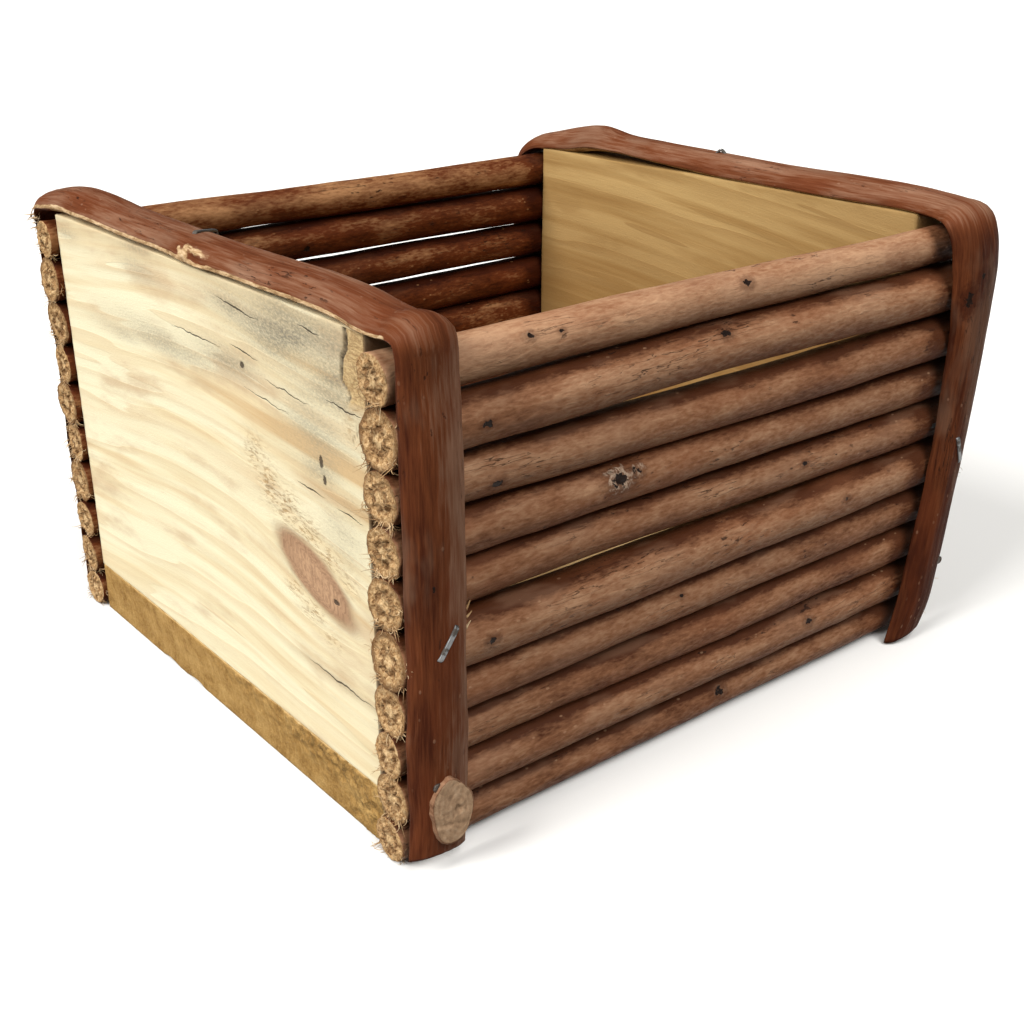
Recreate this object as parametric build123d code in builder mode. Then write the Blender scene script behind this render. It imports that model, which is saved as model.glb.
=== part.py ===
from build123d import *
import os
from math import cos, radians, sin

# Insect hotel body: an open-topped box with walls of willow rods.
# Millimetres. X runs along the rods, Y from the front (-) to the back (+), and Z is up.
# The origin is the middle of the base board's underside, which is what the box stands on.

# Boards
box_length = 250.0            # over the outer faces of the two end boards
box_depth = 200.0             # width of the base board and of the end boards
base_thickness = 20.0
board_thickness = 18.0        # end boards, which stand on the base board
board_rise = 3.2              # end boards above the higher stack of rods
arris = 0.6                   # eased edges of the boards

# Willow rods, bottom to top: how much thicker or thinner than the mean the left and right ends are
rod_diameter = 15.4
front_rods = [(-1.8, -2.4), (-0.2, 0.2), (-1.4, -0.7), (0.1, -0.2), (2.5, 1.8),
              (-0.1, 0.3), (0.3, -0.4), (-0.1, 1.6), (1.6, 2.0), (-1.4, -2.7)]
back_rods = [(-1.8, -2.6), (0.5, -0.3), (-0.9, 0.2), (1.9, 0.7), (-0.4, 0.4),
             (1.2, 1.4), (-0.8, 0.4), (0.7, -0.7), (1.0, 1.2), (-1.9, -1.2)]
rod_gap = 0.3                 # between neighbouring rods
rod_foot = 0.6                # lowest rod above the ground
rod_overhang = 2.0            # rod ends past the outer face of an end board

# Edge strips: half-round split willow, flat side in, bent over each end board
strip_width = 20.5
strip_thickness = 6.5
strip_bend = 6.0              # inner radius of the two bends
strip_clearance = 0.1         # between a strip's legs and the thickest rod
strip_foot = 0.6              # strip ends above the ground
stub_width = 17.0             # cut side branch at the foot of the left strip's front leg
stub_height = 24.0
stub_inset = 1.5              # from the strip's inner edge
stub_proud = 1.5              # of the strip's bark at the middle
stub_slope = 18.0             # degrees that its sawn face turns to the inner side
stub_centre_height = 21.0

# Staples: flat steel wire
crown_width = 10.6
wire_width = 1.6
wire_thickness = 0.9
crown_corner = 0.5            # outer radius where the crown turns into a leg
staple_point = 1.8            # length of the chisel points
rod_staple_leg = 27.0
strip_staple_leg = 16.0
staple_proud = 0.35           # strip staples' crowns above the bark
pilot_reach = 3.0             # pilot cuts run on this far outside the wood
leg_staple_rod = 5            # a strip's leg is stapled where this rod meets the next one up
# For each strip staple: lean round the crown of the strip, positive outwards, and turn of its crown
# from the strip's length, positive where the far or upper end leans to the inner side
strip_staple_turns = {
    "left": {"front": (10.0, 34.0), "top": (-18.0, 66.0), "back": (6.0, 28.0)},
    "right": {"front": (32.0, 14.0), "top": (2.0, 20.0), "back": (12.0, 40.0)},
}
top_staple_place = {"left": 5.0, "right": -3.0}     # along Y

# Brads in the feet of the strips
brad_head = 3.0
brad_head_thickness = 0.8
brad_shank = 1.4
brad_length = 22.0
brad_lean = 24.0              # round the crown of the strip, outwards
brad_rod = 2                  # a brad goes in just above where this rod meets the next one up
brad_rise = 2.5

# Countersunk screws up through the base board into the end boards
screws_per_board = 3
screw_margin = 30.0           # outer screws to the ends of the board
screw_head = 8.0
screw_shank = 4.0
screw_length = 45.0
screw_tip = 5.0
screw_recess = 0.5            # head below the underside
screw_clearance = 0.25        # round the shank in the base board
slot_width = 1.1              # cross recess
slot_length = 4.6
slot_depth = 1.6

# What follows from them
sides = {"left": -1, "right": 1}
faces = {"front": -1, "back": 1}
wall_rods = {"front": front_rods, "back": back_rods}
half_length = box_length / 2
half_depth = box_depth / 2
board_middle = half_length - board_thickness / 2
rod_end = half_length + rod_overhang
strip_inner_edge = rod_end - strip_width
strip_middle = rod_end - strip_width / 2
crown_radius = ((strip_width / 2) ** 2 + strip_thickness ** 2) / (2 * strip_thickness)


def diameters(face, end):
    """Diameters of one wall's rods at one end, from the bottom up."""
    return [rod_diameter + rod[end] for rod in wall_rods[face]]


def stack(face, end):
    """Centre heights of one wall's rods at one end: each rests a gap above the one below."""
    heights = []
    top = rod_foot
    for diameter in diameters(face, end):
        heights.append(top + diameter / 2)
        top = top + diameter + rod_gap
    return heights


def stack_top(face, end):
    return stack(face, end)[-1] + diameters(face, end)[-1] / 2


def rod_diameter_at(rod, x):
    """Diameter of a rod at a place along X: it tapers evenly between its ends."""
    share = (x + rod_end) / (2 * rod_end)
    return rod_diameter + rod[0] * (1 - share) + rod[1] * share


def strip_stand(side, face):
    """Distance from an end board's edge to the flat of the strip's leg, set by the thickest rod."""
    edges = [sides[side] * rod_end, sides[side] * strip_inner_edge]
    thickest = max(rod_diameter_at(rod, x) for rod in wall_rods[face] for x in edges)
    return thickest + strip_clearance


board_top = max(stack_top(face, end) for face in faces for end in (0, 1)) + board_rise
board_height = board_top - base_thickness


# Fasteners, each made once with its outer end at Z = 0 and pointing down
def staple_outline(leg, cap):
    """Closed U of a staple in XZ; cap raises its crown for a pilot cut."""
    half = crown_width / 2
    inner = half - wire_thickness
    return [(-half, cap), (half, cap), (half, -leg), (inner, staple_point - leg), (inner, -wire_thickness),
            (-inner, -wire_thickness), (-inner, staple_point - leg), (-half, -leg)]


def make_staple(leg):
    with BuildPart() as staple:
        with BuildSketch(Plane.XZ):
            with BuildLine():
                Polyline(*staple_outline(leg, 0), close=True)
            make_face()
        extrude(amount=wire_width / 2, both=True)
        crown_edges = staple.edges().filter_by(Axis.Y).group_by(Axis.Z)[-1]
        fillet(crown_edges, crown_corner)
    return staple.part


def make_staple_pilot(leg):
    with BuildPart() as pilot:
        with BuildSketch(Plane.XZ):
            with BuildLine():
                Polyline(*staple_outline(leg, pilot_reach), close=True)
            make_face()
        extrude(amount=wire_width / 2, both=True)
    return pilot.part


def make_brad(cap):
    """Flat-headed brad; cap raises the head for a pilot cut."""
    with BuildPart() as brad:
        with BuildSketch(Plane.XZ):
            with BuildLine():
                Polyline((0, cap), (brad_head / 2, cap), (brad_head / 2, -brad_head_thickness),
                         (brad_shank / 2, -brad_head_thickness), (brad_shank / 2, brad_shank - brad_length),
                         (0, -brad_length), close=True)
            make_face()
        revolve(axis=Axis.Z)
    return brad.part


def make_screw():
    """Countersunk wood screw with a cross recess."""
    cone = (screw_head - screw_shank) / 2
    with BuildPart() as screw:
        with BuildSketch(Plane.XZ):
            with BuildLine():
                Polyline((0, 0), (screw_head / 2, 0), (screw_shank / 2, -cone),
                         (screw_shank / 2, screw_tip - screw_length), (0, -screw_length), close=True)
            make_face()
        revolve(axis=Axis.Z)
        with BuildSketch():
            Rectangle(slot_length, slot_width)
            Rectangle(slot_width, slot_length)
        extrude(amount=-slot_depth, mode=Mode.SUBTRACT)
    return screw.part


def place_all(piece, planes):
    """One part that holds a copy of the piece on each plane."""
    with BuildPart() as group:
        with Locations(*[Location(plane) for plane in planes]):
            add(piece)
    return group.part


def rod_staple_planes(side, face):
    """Crowns lie along the rods, flush with their fronts, over the middle of the board's edge."""
    planes = []
    x = sides[side] * board_middle
    share = (x + rod_end) / (2 * rod_end)
    for rod, left, right in zip(wall_rods[face], stack(face, 0), stack(face, 1)):
        y = faces[face] * (half_depth + rod_diameter_at(rod, x))
        z = left * (1 - share) + right * share
        planes.append(Plane(origin=(x, y, z), x_dir=(1, 0, 0), z_dir=(0, faces[face], 0)))
    return planes


def leg_plane(side, face, height, lean, turn, proud):
    """A plane on the bark of a strip's leg, its X turned from the strip's length."""
    out = sides[side]
    depth = faces[face]
    angle = radians(lean)
    axis_y = half_depth + strip_stand(side, face) + strip_thickness - crown_radius
    x = out * (strip_middle + (crown_radius + proud) * sin(angle))
    y = depth * (axis_y + (crown_radius + proud) * cos(angle))
    normal = Vector(out * sin(angle), depth * cos(angle), 0)
    inward = Vector(-out * cos(angle), depth * sin(angle), 0)
    along = Vector(0, 0, 1) * cos(radians(turn)) + inward * sin(radians(turn))
    return Plane(origin=(x, y, height), x_dir=along, z_dir=normal)


def top_plane(side, place, lean, turn, proud):
    """A plane on the bark of a strip's top run, its X turned from the strip's length."""
    out = sides[side]
    angle = radians(lean)
    x = out * (strip_middle + (crown_radius + proud) * sin(angle))
    z = board_top + strip_thickness - crown_radius + (crown_radius + proud) * cos(angle)
    normal = Vector(out * sin(angle), 0, cos(angle))
    inward = Vector(-out * cos(angle), 0, sin(angle))
    along = Vector(0, 1, 0) * cos(radians(turn)) + inward * sin(radians(turn))
    return Plane(origin=(x, place, z), x_dir=along, z_dir=normal)


def rod_joint(side, face, rod):
    """Height at which a rod, counted from the bottom, meets the next one up at this end."""
    end = 0 if side == "left" else 1
    return stack(face, end)[rod - 1] + diameters(face, end)[rod - 1] / 2


def strip_staple_planes(side):
    planes = []
    for face in faces:
        lean, turn = strip_staple_turns[side][face]
        height = rod_joint(side, face, leg_staple_rod)
        planes.append(leg_plane(side, face, height, lean, turn, staple_proud))
    lean, turn = strip_staple_turns[side]["top"]
    planes.append(top_plane(side, top_staple_place[side], lean, turn, staple_proud))
    return planes


def brad_planes(side):
    planes = []
    for face in faces:
        height = rod_joint(side, face, brad_rod) + brad_rise
        planes.append(leg_plane(side, face, height, brad_lean, 0, 0))
    return planes


def screw_planes(side):
    reach = half_depth - screw_margin
    step = 2 * reach / (screws_per_board - 1)
    x = sides[side] * board_middle
    return [Plane(origin=(x, step * i - reach, screw_recess), x_dir=(1, 0, 0), z_dir=(0, 0, -1))
            for i in range(screws_per_board)]


rod_staple = make_staple(rod_staple_leg)
rod_staple_pilot = make_staple_pilot(rod_staple_leg)
strip_staple = make_staple(strip_staple_leg)
strip_staple_pilot = make_staple_pilot(strip_staple_leg)
brad = make_brad(0)
brad_pilot = make_brad(pilot_reach)
screw = make_screw()

pieces = {}
pilots = {}
for side in sides:
    pieces["strip_staples_" + side] = place_all(strip_staple, strip_staple_planes(side))
    pieces["strip_brads_" + side] = place_all(brad, brad_planes(side))
    pieces["base_screws_" + side] = place_all(screw, screw_planes(side))
    pilots["strip_" + side] = [place_all(strip_staple_pilot, strip_staple_planes(side)),
                               place_all(brad_pilot, brad_planes(side))]
    for face in faces:
        planes = rod_staple_planes(side, face)
        pieces["rod_staples_" + face + "_" + side] = place_all(rod_staple, planes)
        pilots["rod_" + face + "_" + side] = place_all(rod_staple_pilot, planes)

# Base board, with its clearance holes and countersinks
with BuildPart() as base_board:
    Box(box_length, box_depth, base_thickness, align=(Align.CENTER, Align.CENTER, Align.MIN))
    chamfer(base_board.edges(), arris)
    with Locations(*[Location(plane) for side in sides for plane in screw_planes(side)]):
        with Locations((0, 0, screw_recess)):
            CounterSinkHole(screw_shank / 2 + screw_clearance, screw_head / 2 + screw_recess, base_thickness)
    for side in sides:
        for face in faces:
            add(pilots["rod_" + face + "_" + side], mode=Mode.SUBTRACT)
pieces["base_board"] = base_board.part

# End boards, standing on the base board
for side in sides:
    with BuildPart() as end_board:
        with Locations((sides[side] * board_middle, 0, base_thickness)):
            Box(board_thickness, box_depth, board_height, align=(Align.CENTER, Align.CENTER, Align.MIN))
        chamfer(end_board.edges(), arris)
        add(pieces["base_screws_" + side], mode=Mode.SUBTRACT)
        add(pilots["strip_" + side], mode=Mode.SUBTRACT)
        for face in faces:
            add(pilots["rod_" + face + "_" + side], mode=Mode.SUBTRACT)
    pieces["end_board_" + side] = end_board.part

# Rods: each back line lies against the end boards' edges
for face in faces:
    for i, rod in enumerate(wall_rods[face]):
        with BuildPart() as willow_rod:
            for end, x in enumerate((-rod_end, rod_end)):
                radius = diameters(face, end)[i] / 2
                with BuildSketch(Plane.YZ.offset(x)):
                    with Locations((faces[face] * (half_depth + radius), stack(face, end)[i])):
                        Circle(radius)
            loft()
            for side in sides:
                add(pilots["rod_" + face + "_" + side], mode=Mode.SUBTRACT)
                add(pilots["strip_" + side], mode=Mode.SUBTRACT)
        pieces[f"{face}_rod_{i + 1:02d}"] = willow_rod.part

# Edge strips: a half-round section carried up the front, over the board and down the back
for side in sides:
    front_y = -half_depth - strip_stand(side, "front")
    back_y = half_depth + strip_stand(side, "back")
    x = sides[side] * strip_middle
    with BuildPart() as edge_strip:
        with BuildLine() as course:
            FilletPolyline((x, front_y, strip_foot), (x, front_y, board_top), (x, back_y, board_top),
                           (x, back_y, strip_foot), radius=strip_bend)
        with BuildSketch(Plane(origin=(x, front_y, strip_foot), x_dir=(1, 0, 0), z_dir=(0, 0, 1))):
            with BuildLine():
                flat = Line((-strip_width / 2, 0), (strip_width / 2, 0))
                ThreePointArc(flat @ 0, (0, -strip_thickness), flat @ 1)
            make_face()
        sweep(path=course.line)
        if side == "left":
            stub_x = x + strip_width / 2 - stub_inset - stub_width / 2
            face_middle = (stub_x, front_y - strip_thickness - stub_proud, stub_centre_height)
            sawn = Plane(origin=face_middle, z_dir=(sin(radians(stub_slope)), -cos(radians(stub_slope)), 0))
            with BuildSketch(Plane(origin=(stub_x, front_y, stub_centre_height), x_dir=(1, 0, 0),
                                   z_dir=(0, -1, 0))):
                Ellipse(stub_width / 2, stub_height / 2)
            extrude(amount=strip_thickness + stub_width)
            split(bisect_by=sawn, keep=Keep.BOTTOM)
        add(pilots["strip_" + side], mode=Mode.SUBTRACT)
    pieces["edge_strip_" + side] = edge_strip.part

os.makedirs("parts", exist_ok=True)
for name, piece in pieces.items():
    piece.label = name
    export_step(piece, "parts/" + name + ".step")
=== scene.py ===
import bpy
import numpy as np
from mathutils import Matrix, Vector


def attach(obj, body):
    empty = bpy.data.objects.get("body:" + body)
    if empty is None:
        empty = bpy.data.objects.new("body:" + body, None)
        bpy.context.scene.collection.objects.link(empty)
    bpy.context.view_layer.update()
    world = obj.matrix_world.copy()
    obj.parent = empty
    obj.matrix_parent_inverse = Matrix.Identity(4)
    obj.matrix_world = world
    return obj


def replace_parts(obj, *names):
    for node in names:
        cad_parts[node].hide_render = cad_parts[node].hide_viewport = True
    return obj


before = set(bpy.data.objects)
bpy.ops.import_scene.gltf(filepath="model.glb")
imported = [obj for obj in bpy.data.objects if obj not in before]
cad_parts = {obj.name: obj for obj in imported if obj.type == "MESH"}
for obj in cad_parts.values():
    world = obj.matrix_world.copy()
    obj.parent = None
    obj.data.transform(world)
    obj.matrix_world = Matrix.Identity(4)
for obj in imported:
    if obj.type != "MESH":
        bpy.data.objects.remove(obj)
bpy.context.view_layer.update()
mm = 0.001
print("frame loaded")

# camera, light and floor

viewSettings = dict(
    place=(-304.116 * mm, -375.745 * mm, 253.82 * mm),
    aim=(-31.65 * mm, -17.46 * mm, 36.12 * mm),
    roll=-0.64,                      # degrees
    lens=46.72,
    shift=(0.0498, 0.0498),
)


def makeCamera(settings):
    camera = bpy.data.objects.new("camera", bpy.data.cameras.new("camera"))
    bpy.context.scene.collection.objects.link(camera)
    place = Vector(settings["place"])
    look = Vector(settings["aim"]) - place
    turn = look.to_track_quat("-Z", "Y").to_matrix()
    roll = Matrix.Rotation(np.radians(settings["roll"]), 3, "Z")
    camera.matrix_world = Matrix.Translation(place) @ (turn @ roll).to_4x4()
    camera.data.lens = settings["lens"]
    camera.data.shift_x, camera.data.shift_y = settings["shift"]
    camera.data.clip_start = 1 * mm
    bpy.context.scene.camera = camera


lightSettings = dict(
    # name, direction towards the light, strength, spread in degrees for soft shadows, colour
    suns=[
        ("softKey", (-0.79, 0.04, 0.61), 3.7, 32, (1.0, 0.975, 0.93)),
        ("softTop", (-0.10, -0.58, 0.81), 2.2, 34, (1.0, 0.98, 0.95)),
    ],
    skyLow=(0.030, 0.022, 0.016), skyLevel=(0.11, 0.10, 0.085), skyHigh=(0.45, 0.45, 0.44),
    floorColour=(0.92, 0.92, 0.915),
    floorSize=80.0,
)


def makeLight(settings):
    for name, towards, strength, spread, colour in settings["suns"]:
        sun = bpy.data.objects.new(name, bpy.data.lights.new(name, "SUN"))
        bpy.context.scene.collection.objects.link(sun)
        sun.rotation_mode = "QUATERNION"
        sun.rotation_quaternion = Vector(towards).to_track_quat("Z", "Y")
        sun.data.energy = strength
        sun.data.angle = np.radians(spread)
        sun.data.color = colour
    # a sky that is dark below the horizon and brightest overhead
    world = bpy.data.worlds.new("softSky")
    world.use_nodes = True
    tree = world.node_tree
    way = tree.nodes.new("ShaderNodeTexCoord")
    parts = tree.nodes.new("ShaderNodeSeparateXYZ")
    height = tree.nodes.new("ShaderNodeMapRange")
    height.inputs["From Min"].default_value = -1
    shades = tree.nodes.new("ShaderNodeValToRGB")
    shades.color_ramp.elements.new(0.5)
    for element, place, key in zip(shades.color_ramp.elements, (0.40, 0.56, 1.0),
                                   ("skyLow", "skyLevel", "skyHigh")):
        element.position = place
        element.color = (*settings[key], 1)
    tree.links.new(way.outputs["Generated"], parts.inputs[0])
    tree.links.new(parts.outputs["Z"], height.inputs["Value"])
    tree.links.new(height.outputs[0], shades.inputs[0])
    # plain white behind the object, where the camera sees past the floor
    rays = tree.nodes.new("ShaderNodeLightPath")
    seen = tree.nodes.new("ShaderNodeMix")
    seen.data_type = "RGBA"
    tree.links.new(rays.outputs["Is Camera Ray"], seen.inputs["Factor"])
    tree.links.new(shades.outputs[0], seen.inputs[6])
    seen.inputs[7].default_value = (1, 1, 1, 1)
    tree.links.new(seen.outputs[2], tree.nodes["Background"].inputs["Color"])
    bpy.context.scene.world = world
    bpy.context.scene.view_settings.view_transform = "Standard"


def makeFloor(settings):
    half = settings["floorSize"] / 2
    mesh = bpy.data.meshes.new("floor")
    mesh.from_pydata([(-half, -half, 0), (half, -half, 0), (half, half, 0), (-half, half, 0)], [],
                     [(0, 1, 2, 3)])
    floor = bpy.data.objects.new("floor", mesh)
    bpy.context.scene.collection.objects.link(floor)
    paint = bpy.data.materials.new("paleFloor")
    paint.use_nodes = True
    shader = paint.node_tree.nodes["Principled BSDF"]
    shader.inputs["Base Color"].default_value = (*settings["floorColour"], 1)
    shader.inputs["Roughness"].default_value = 0.9
    mesh.materials.append(paint)
    floor.visible_diffuse = False


makeCamera(viewSettings)
makeLight(lightSettings)
makeFloor(lightSettings)
print("camera, light and floor made")

# shapes: every surface is a grid of points, worked out as whole arrays


def latticeValue(cell, seed):
    # a repeatable value from 0 to 1 for each lattice cell: its whole numbers times large primes, bits mixed
    mixed = (cell[..., 0] * 374761393 + cell[..., 1] * 668265263 + cell[..., 2] * 1442695041
             + seed * 1274126177)
    mixed = ((mixed ^ (mixed >> 13)) * 1103515245) & 0xffffffff
    mixed = ((mixed ^ (mixed >> 16)) * 2246822519) & 0xffffffff
    return ((mixed ^ (mixed >> 13)) & 0xffff) / 65535


def smoothNoise(place, seed):
    # noise from -1 to 1: values at the eight lattice cells round a place, each axis eased by 3t^2 - 2t^3
    low = np.floor(place).astype(np.int64)
    share = place - low
    share = share * share * (3 - 2 * share)
    total = 0
    for corner in np.ndindex(2, 2, 2):
        weight = np.where(np.array(corner) == 1, share, 1 - share).prod(-1)
        total = total + weight * latticeValue(low + np.array(corner), seed)
    return total * 2 - 1


def roughNoise(place, seed, layers=3):
    # smooth noise in layers, each twice as fine and half as strong
    return sum(smoothNoise(place * 2 ** layer, seed + layer) * 0.5 ** layer for layer in range(layers))


def through(table, place):
    # a smooth curve through (place, value) pairs: cubic pieces whose slopes come from the neighbours
    x, y = np.array(table, float).T
    slope = np.gradient(y, x)
    i = np.clip(np.searchsorted(x, place) - 1, 0, len(x) - 2)
    step = x[i + 1] - x[i]
    t = np.clip((place - x[i]) / step, 0, 1)
    return ((2 * t ** 3 - 3 * t ** 2 + 1) * y[i] + (3 * t ** 2 - 2 * t ** 3) * y[i + 1]
            + ((t ** 3 - 2 * t ** 2 + t) * slope[i] + (t ** 3 - t ** 2) * slope[i + 1]) * step)


def makePiece(name, grid, marks, body="root", poles=True):
    # rows of points, each row closed on itself; an end row is joined to its own middle point, or without
    # poles it is closed by one flat face
    rows, columns = grid.shape[:2]
    first = np.arange(rows - 1)[:, None] * columns
    here = np.arange(columns)[None, :]
    after = (here + 1) % columns
    quads = np.stack([first + here, first + after, first + columns + after, first + columns + here],
                     -1).reshape(-1, 4)
    points = grid.reshape(-1, 3)
    faces = quads.tolist()
    edge = np.arange(columns)
    if poles:
        points = np.concatenate([points, grid[[0, -1]].mean(1)])
        low, high = len(points) - 2, len(points) - 1
        last = (rows - 1) * columns
        faces += np.stack([np.roll(edge, -1), edge, np.full(columns, low)], -1).tolist()
        faces += np.stack([last + edge, last + np.roll(edge, -1), np.full(columns, high)], -1).tolist()
    else:
        faces += [edge[::-1].tolist(), ((rows - 1) * columns + edge).tolist()]
    # outwards means a positive volume: six times it is the sum of each face's corner triple products
    a, b, c, d = (points[quads[:, k]] for k in range(4))
    volume = (np.cross(a, b) * c).sum() + (np.cross(a, c) * d).sum()
    if volume < 0:
        faces = [face[::-1] for face in faces]
    return meshPiece(name, points, faces, {key: addPoles(value, poles) for key, value in marks.items()},
                     body)


def addPoles(value, poles):
    # a mark's value at an end's middle point is its mean over the end row
    flat = value.reshape(-1, *value.shape[2:])
    return np.concatenate([flat, value[[0, -1]].mean(1)]) if poles else flat


def meshPiece(name, points, faces, marks, body):
    # points, faces and named marks put into a mesh, with no point below the floor
    points[:, 2] = np.maximum(points[:, 2], 0.0)
    mesh = bpy.data.meshes.new(name)
    mesh.from_pydata(points.tolist(), [], faces)
    for key, value in marks.items():
        wide = value.ndim == 2
        attribute = mesh.attributes.new(key, "FLOAT_VECTOR" if wide else "FLOAT", "POINT")
        attribute.data.foreach_set("vector" if wide else "value",
                                   np.ascontiguousarray(value, np.float32).ravel())
    mesh.polygons.foreach_set("use_smooth", np.ones(len(mesh.polygons), bool))
    mesh.update()
    piece = bpy.data.objects.new(name, mesh)
    bpy.context.scene.collection.objects.link(piece)
    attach(piece, body)
    return piece


def nodePoints(node):
    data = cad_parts[node].data
    points = np.empty(len(data.vertices) * 3)
    data.vertices.foreach_get("co", points)
    return points.reshape(-1, 3)


# materials: small helpers that add a node and give its output


def put(tree, kind, inputs, **properties):
    node = tree.nodes.new("ShaderNode" + kind)
    for key, value in properties.items():
        setattr(node, key, value)
    for key, value in inputs.items():
        if isinstance(value, bpy.types.NodeSocket):
            tree.links.new(value, node.inputs[key])
        elif value is not None:
            node.inputs[key].default_value = value
    return node


def mark(tree, name, output="Vector"):
    return put(tree, "Attribute", {}, attribute_name=name).outputs[output]


def stretch(tree, place, scale, shift=(0, 0, 0)):
    return put(tree, "Mapping", {"Vector": place, "Scale": scale, "Location": shift}).outputs[0]


def noise(tree, place, scale, detail=3.0, roughness=0.55, distortion=0.0):
    place = stretch(tree, place, scale)
    return put(tree, "TexNoise", {"Vector": place, "Scale": 1.0, "Detail": detail, "Roughness": roughness,
                                  "Distortion": distortion}).outputs[0]


def calc(tree, operation, a, b=None, c=None, clamp=False):
    return put(tree, "Math", {0: a, 1: b, 2: c}, operation=operation, use_clamp=clamp).outputs[0]


def times(tree, a, b):
    return calc(tree, "MULTIPLY", a, b)


def timesPlus(tree, a, b, c):
    return calc(tree, "MULTIPLY_ADD", a, b, c)


def far(tree, place):
    # how far a place is from the origin
    return put(tree, "VectorMath", {0: place}, operation="LENGTH").outputs["Value"]


def pushed(tree, value, rough, amount):
    # the value, moved either way by a noise whose mean is 0.5
    return timesPlus(tree, calc(tree, "SUBTRACT", rough, 0.5), amount, value)


def span(tree, value, low, high, start=0.0, end=1.0):
    inputs = {"Value": value, "From Min": low, "From Max": high, "To Min": start, "To Max": end}
    return put(tree, "MapRange", inputs, interpolation_type="SMOOTHSTEP").outputs[0]


def mix(tree, share, first, second, blend="MIX"):
    first, second = ((*c, 1) if isinstance(c, tuple) else c for c in (first, second))
    return put(tree, "Mix", {0: share, 6: first, 7: second}, data_type="RGBA", blend_type=blend).outputs[2]


def ramp(tree, value, stops):
    node = put(tree, "ValToRGB", {"Fac": value})
    elements = node.color_ramp.elements
    while len(elements) < len(stops):
        elements.new(0.5)
    for element, (place, colour) in zip(elements, stops):
        element.position = place
        element.color = (*colour, 1)
    return node.outputs[0]


def bump(tree, height, depth, strength=1.0):
    return put(tree, "Bump", {"Height": height, "Distance": depth, "Strength": strength}).outputs[0]


def newPaint(name):
    paint = bpy.data.materials.new(name)
    paint.use_nodes = True
    return paint, paint.node_tree, paint.node_tree.nodes["Principled BSDF"]


def finishPaint(tree, shader, colour, roughness, normal):
    tree.links.new(colour, shader.inputs["Base Color"])
    tree.links.new(roughness, shader.inputs["Roughness"])
    tree.links.new(normal, shader.inputs["Normal"])


rodBark = dict(
    dark=(0.072, 0.021, 0.007), mid=(0.245, 0.108, 0.052), light=(0.45, 0.26, 0.150),
    red=(0.24, 0.086, 0.037), grey=(0.29, 0.158, 0.095), crack=(0.022, 0.008, 0.004), scar=(0.50, 0.37, 0.27),
    woodDark=(0.120, 0.052, 0.019), wood=(0.45, 0.270, 0.122), woodPale=(0.70, 0.495, 0.27),
    fine=(300, 1000, 1000), broad=(45, 150, 150), hueShare=0.28, gloss=0.46, shine=0.16, radial=True,
    lean=-0.265,
)
# painted shade: a darker, redder, less shiny copy of the rod bark for the back wall's rods, which stand in
# shade
shadedRedBark = dict(rodBark, dark=(0.030, 0.005, 0.001), mid=(0.100, 0.024, 0.006), light=(0.34, 0.170, 0.075),
               red=(0.14, 0.030, 0.008), grey=(0.12, 0.045, 0.020), shine=0.08)
stripBark = dict(
    dark=(0.042, 0.009, 0.003), mid=(0.128, 0.037, 0.013), light=(0.27, 0.145, 0.090),
    red=(0.13, 0.032, 0.011), grey=(0.19, 0.105, 0.066), crack=(0.014, 0.005, 0.003), scar=(0.28, 0.16, 0.10),
    woodDark=(0.16, 0.085, 0.038), wood=(0.42, 0.27, 0.14), woodPale=(0.64, 0.47, 0.29),
    fine=(70, 1100, 1100), broad=(20, 150, 150), hueShare=0.42, gloss=0.50, shine=0.08, radial=False,
    lean=-0.285,
)


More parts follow.
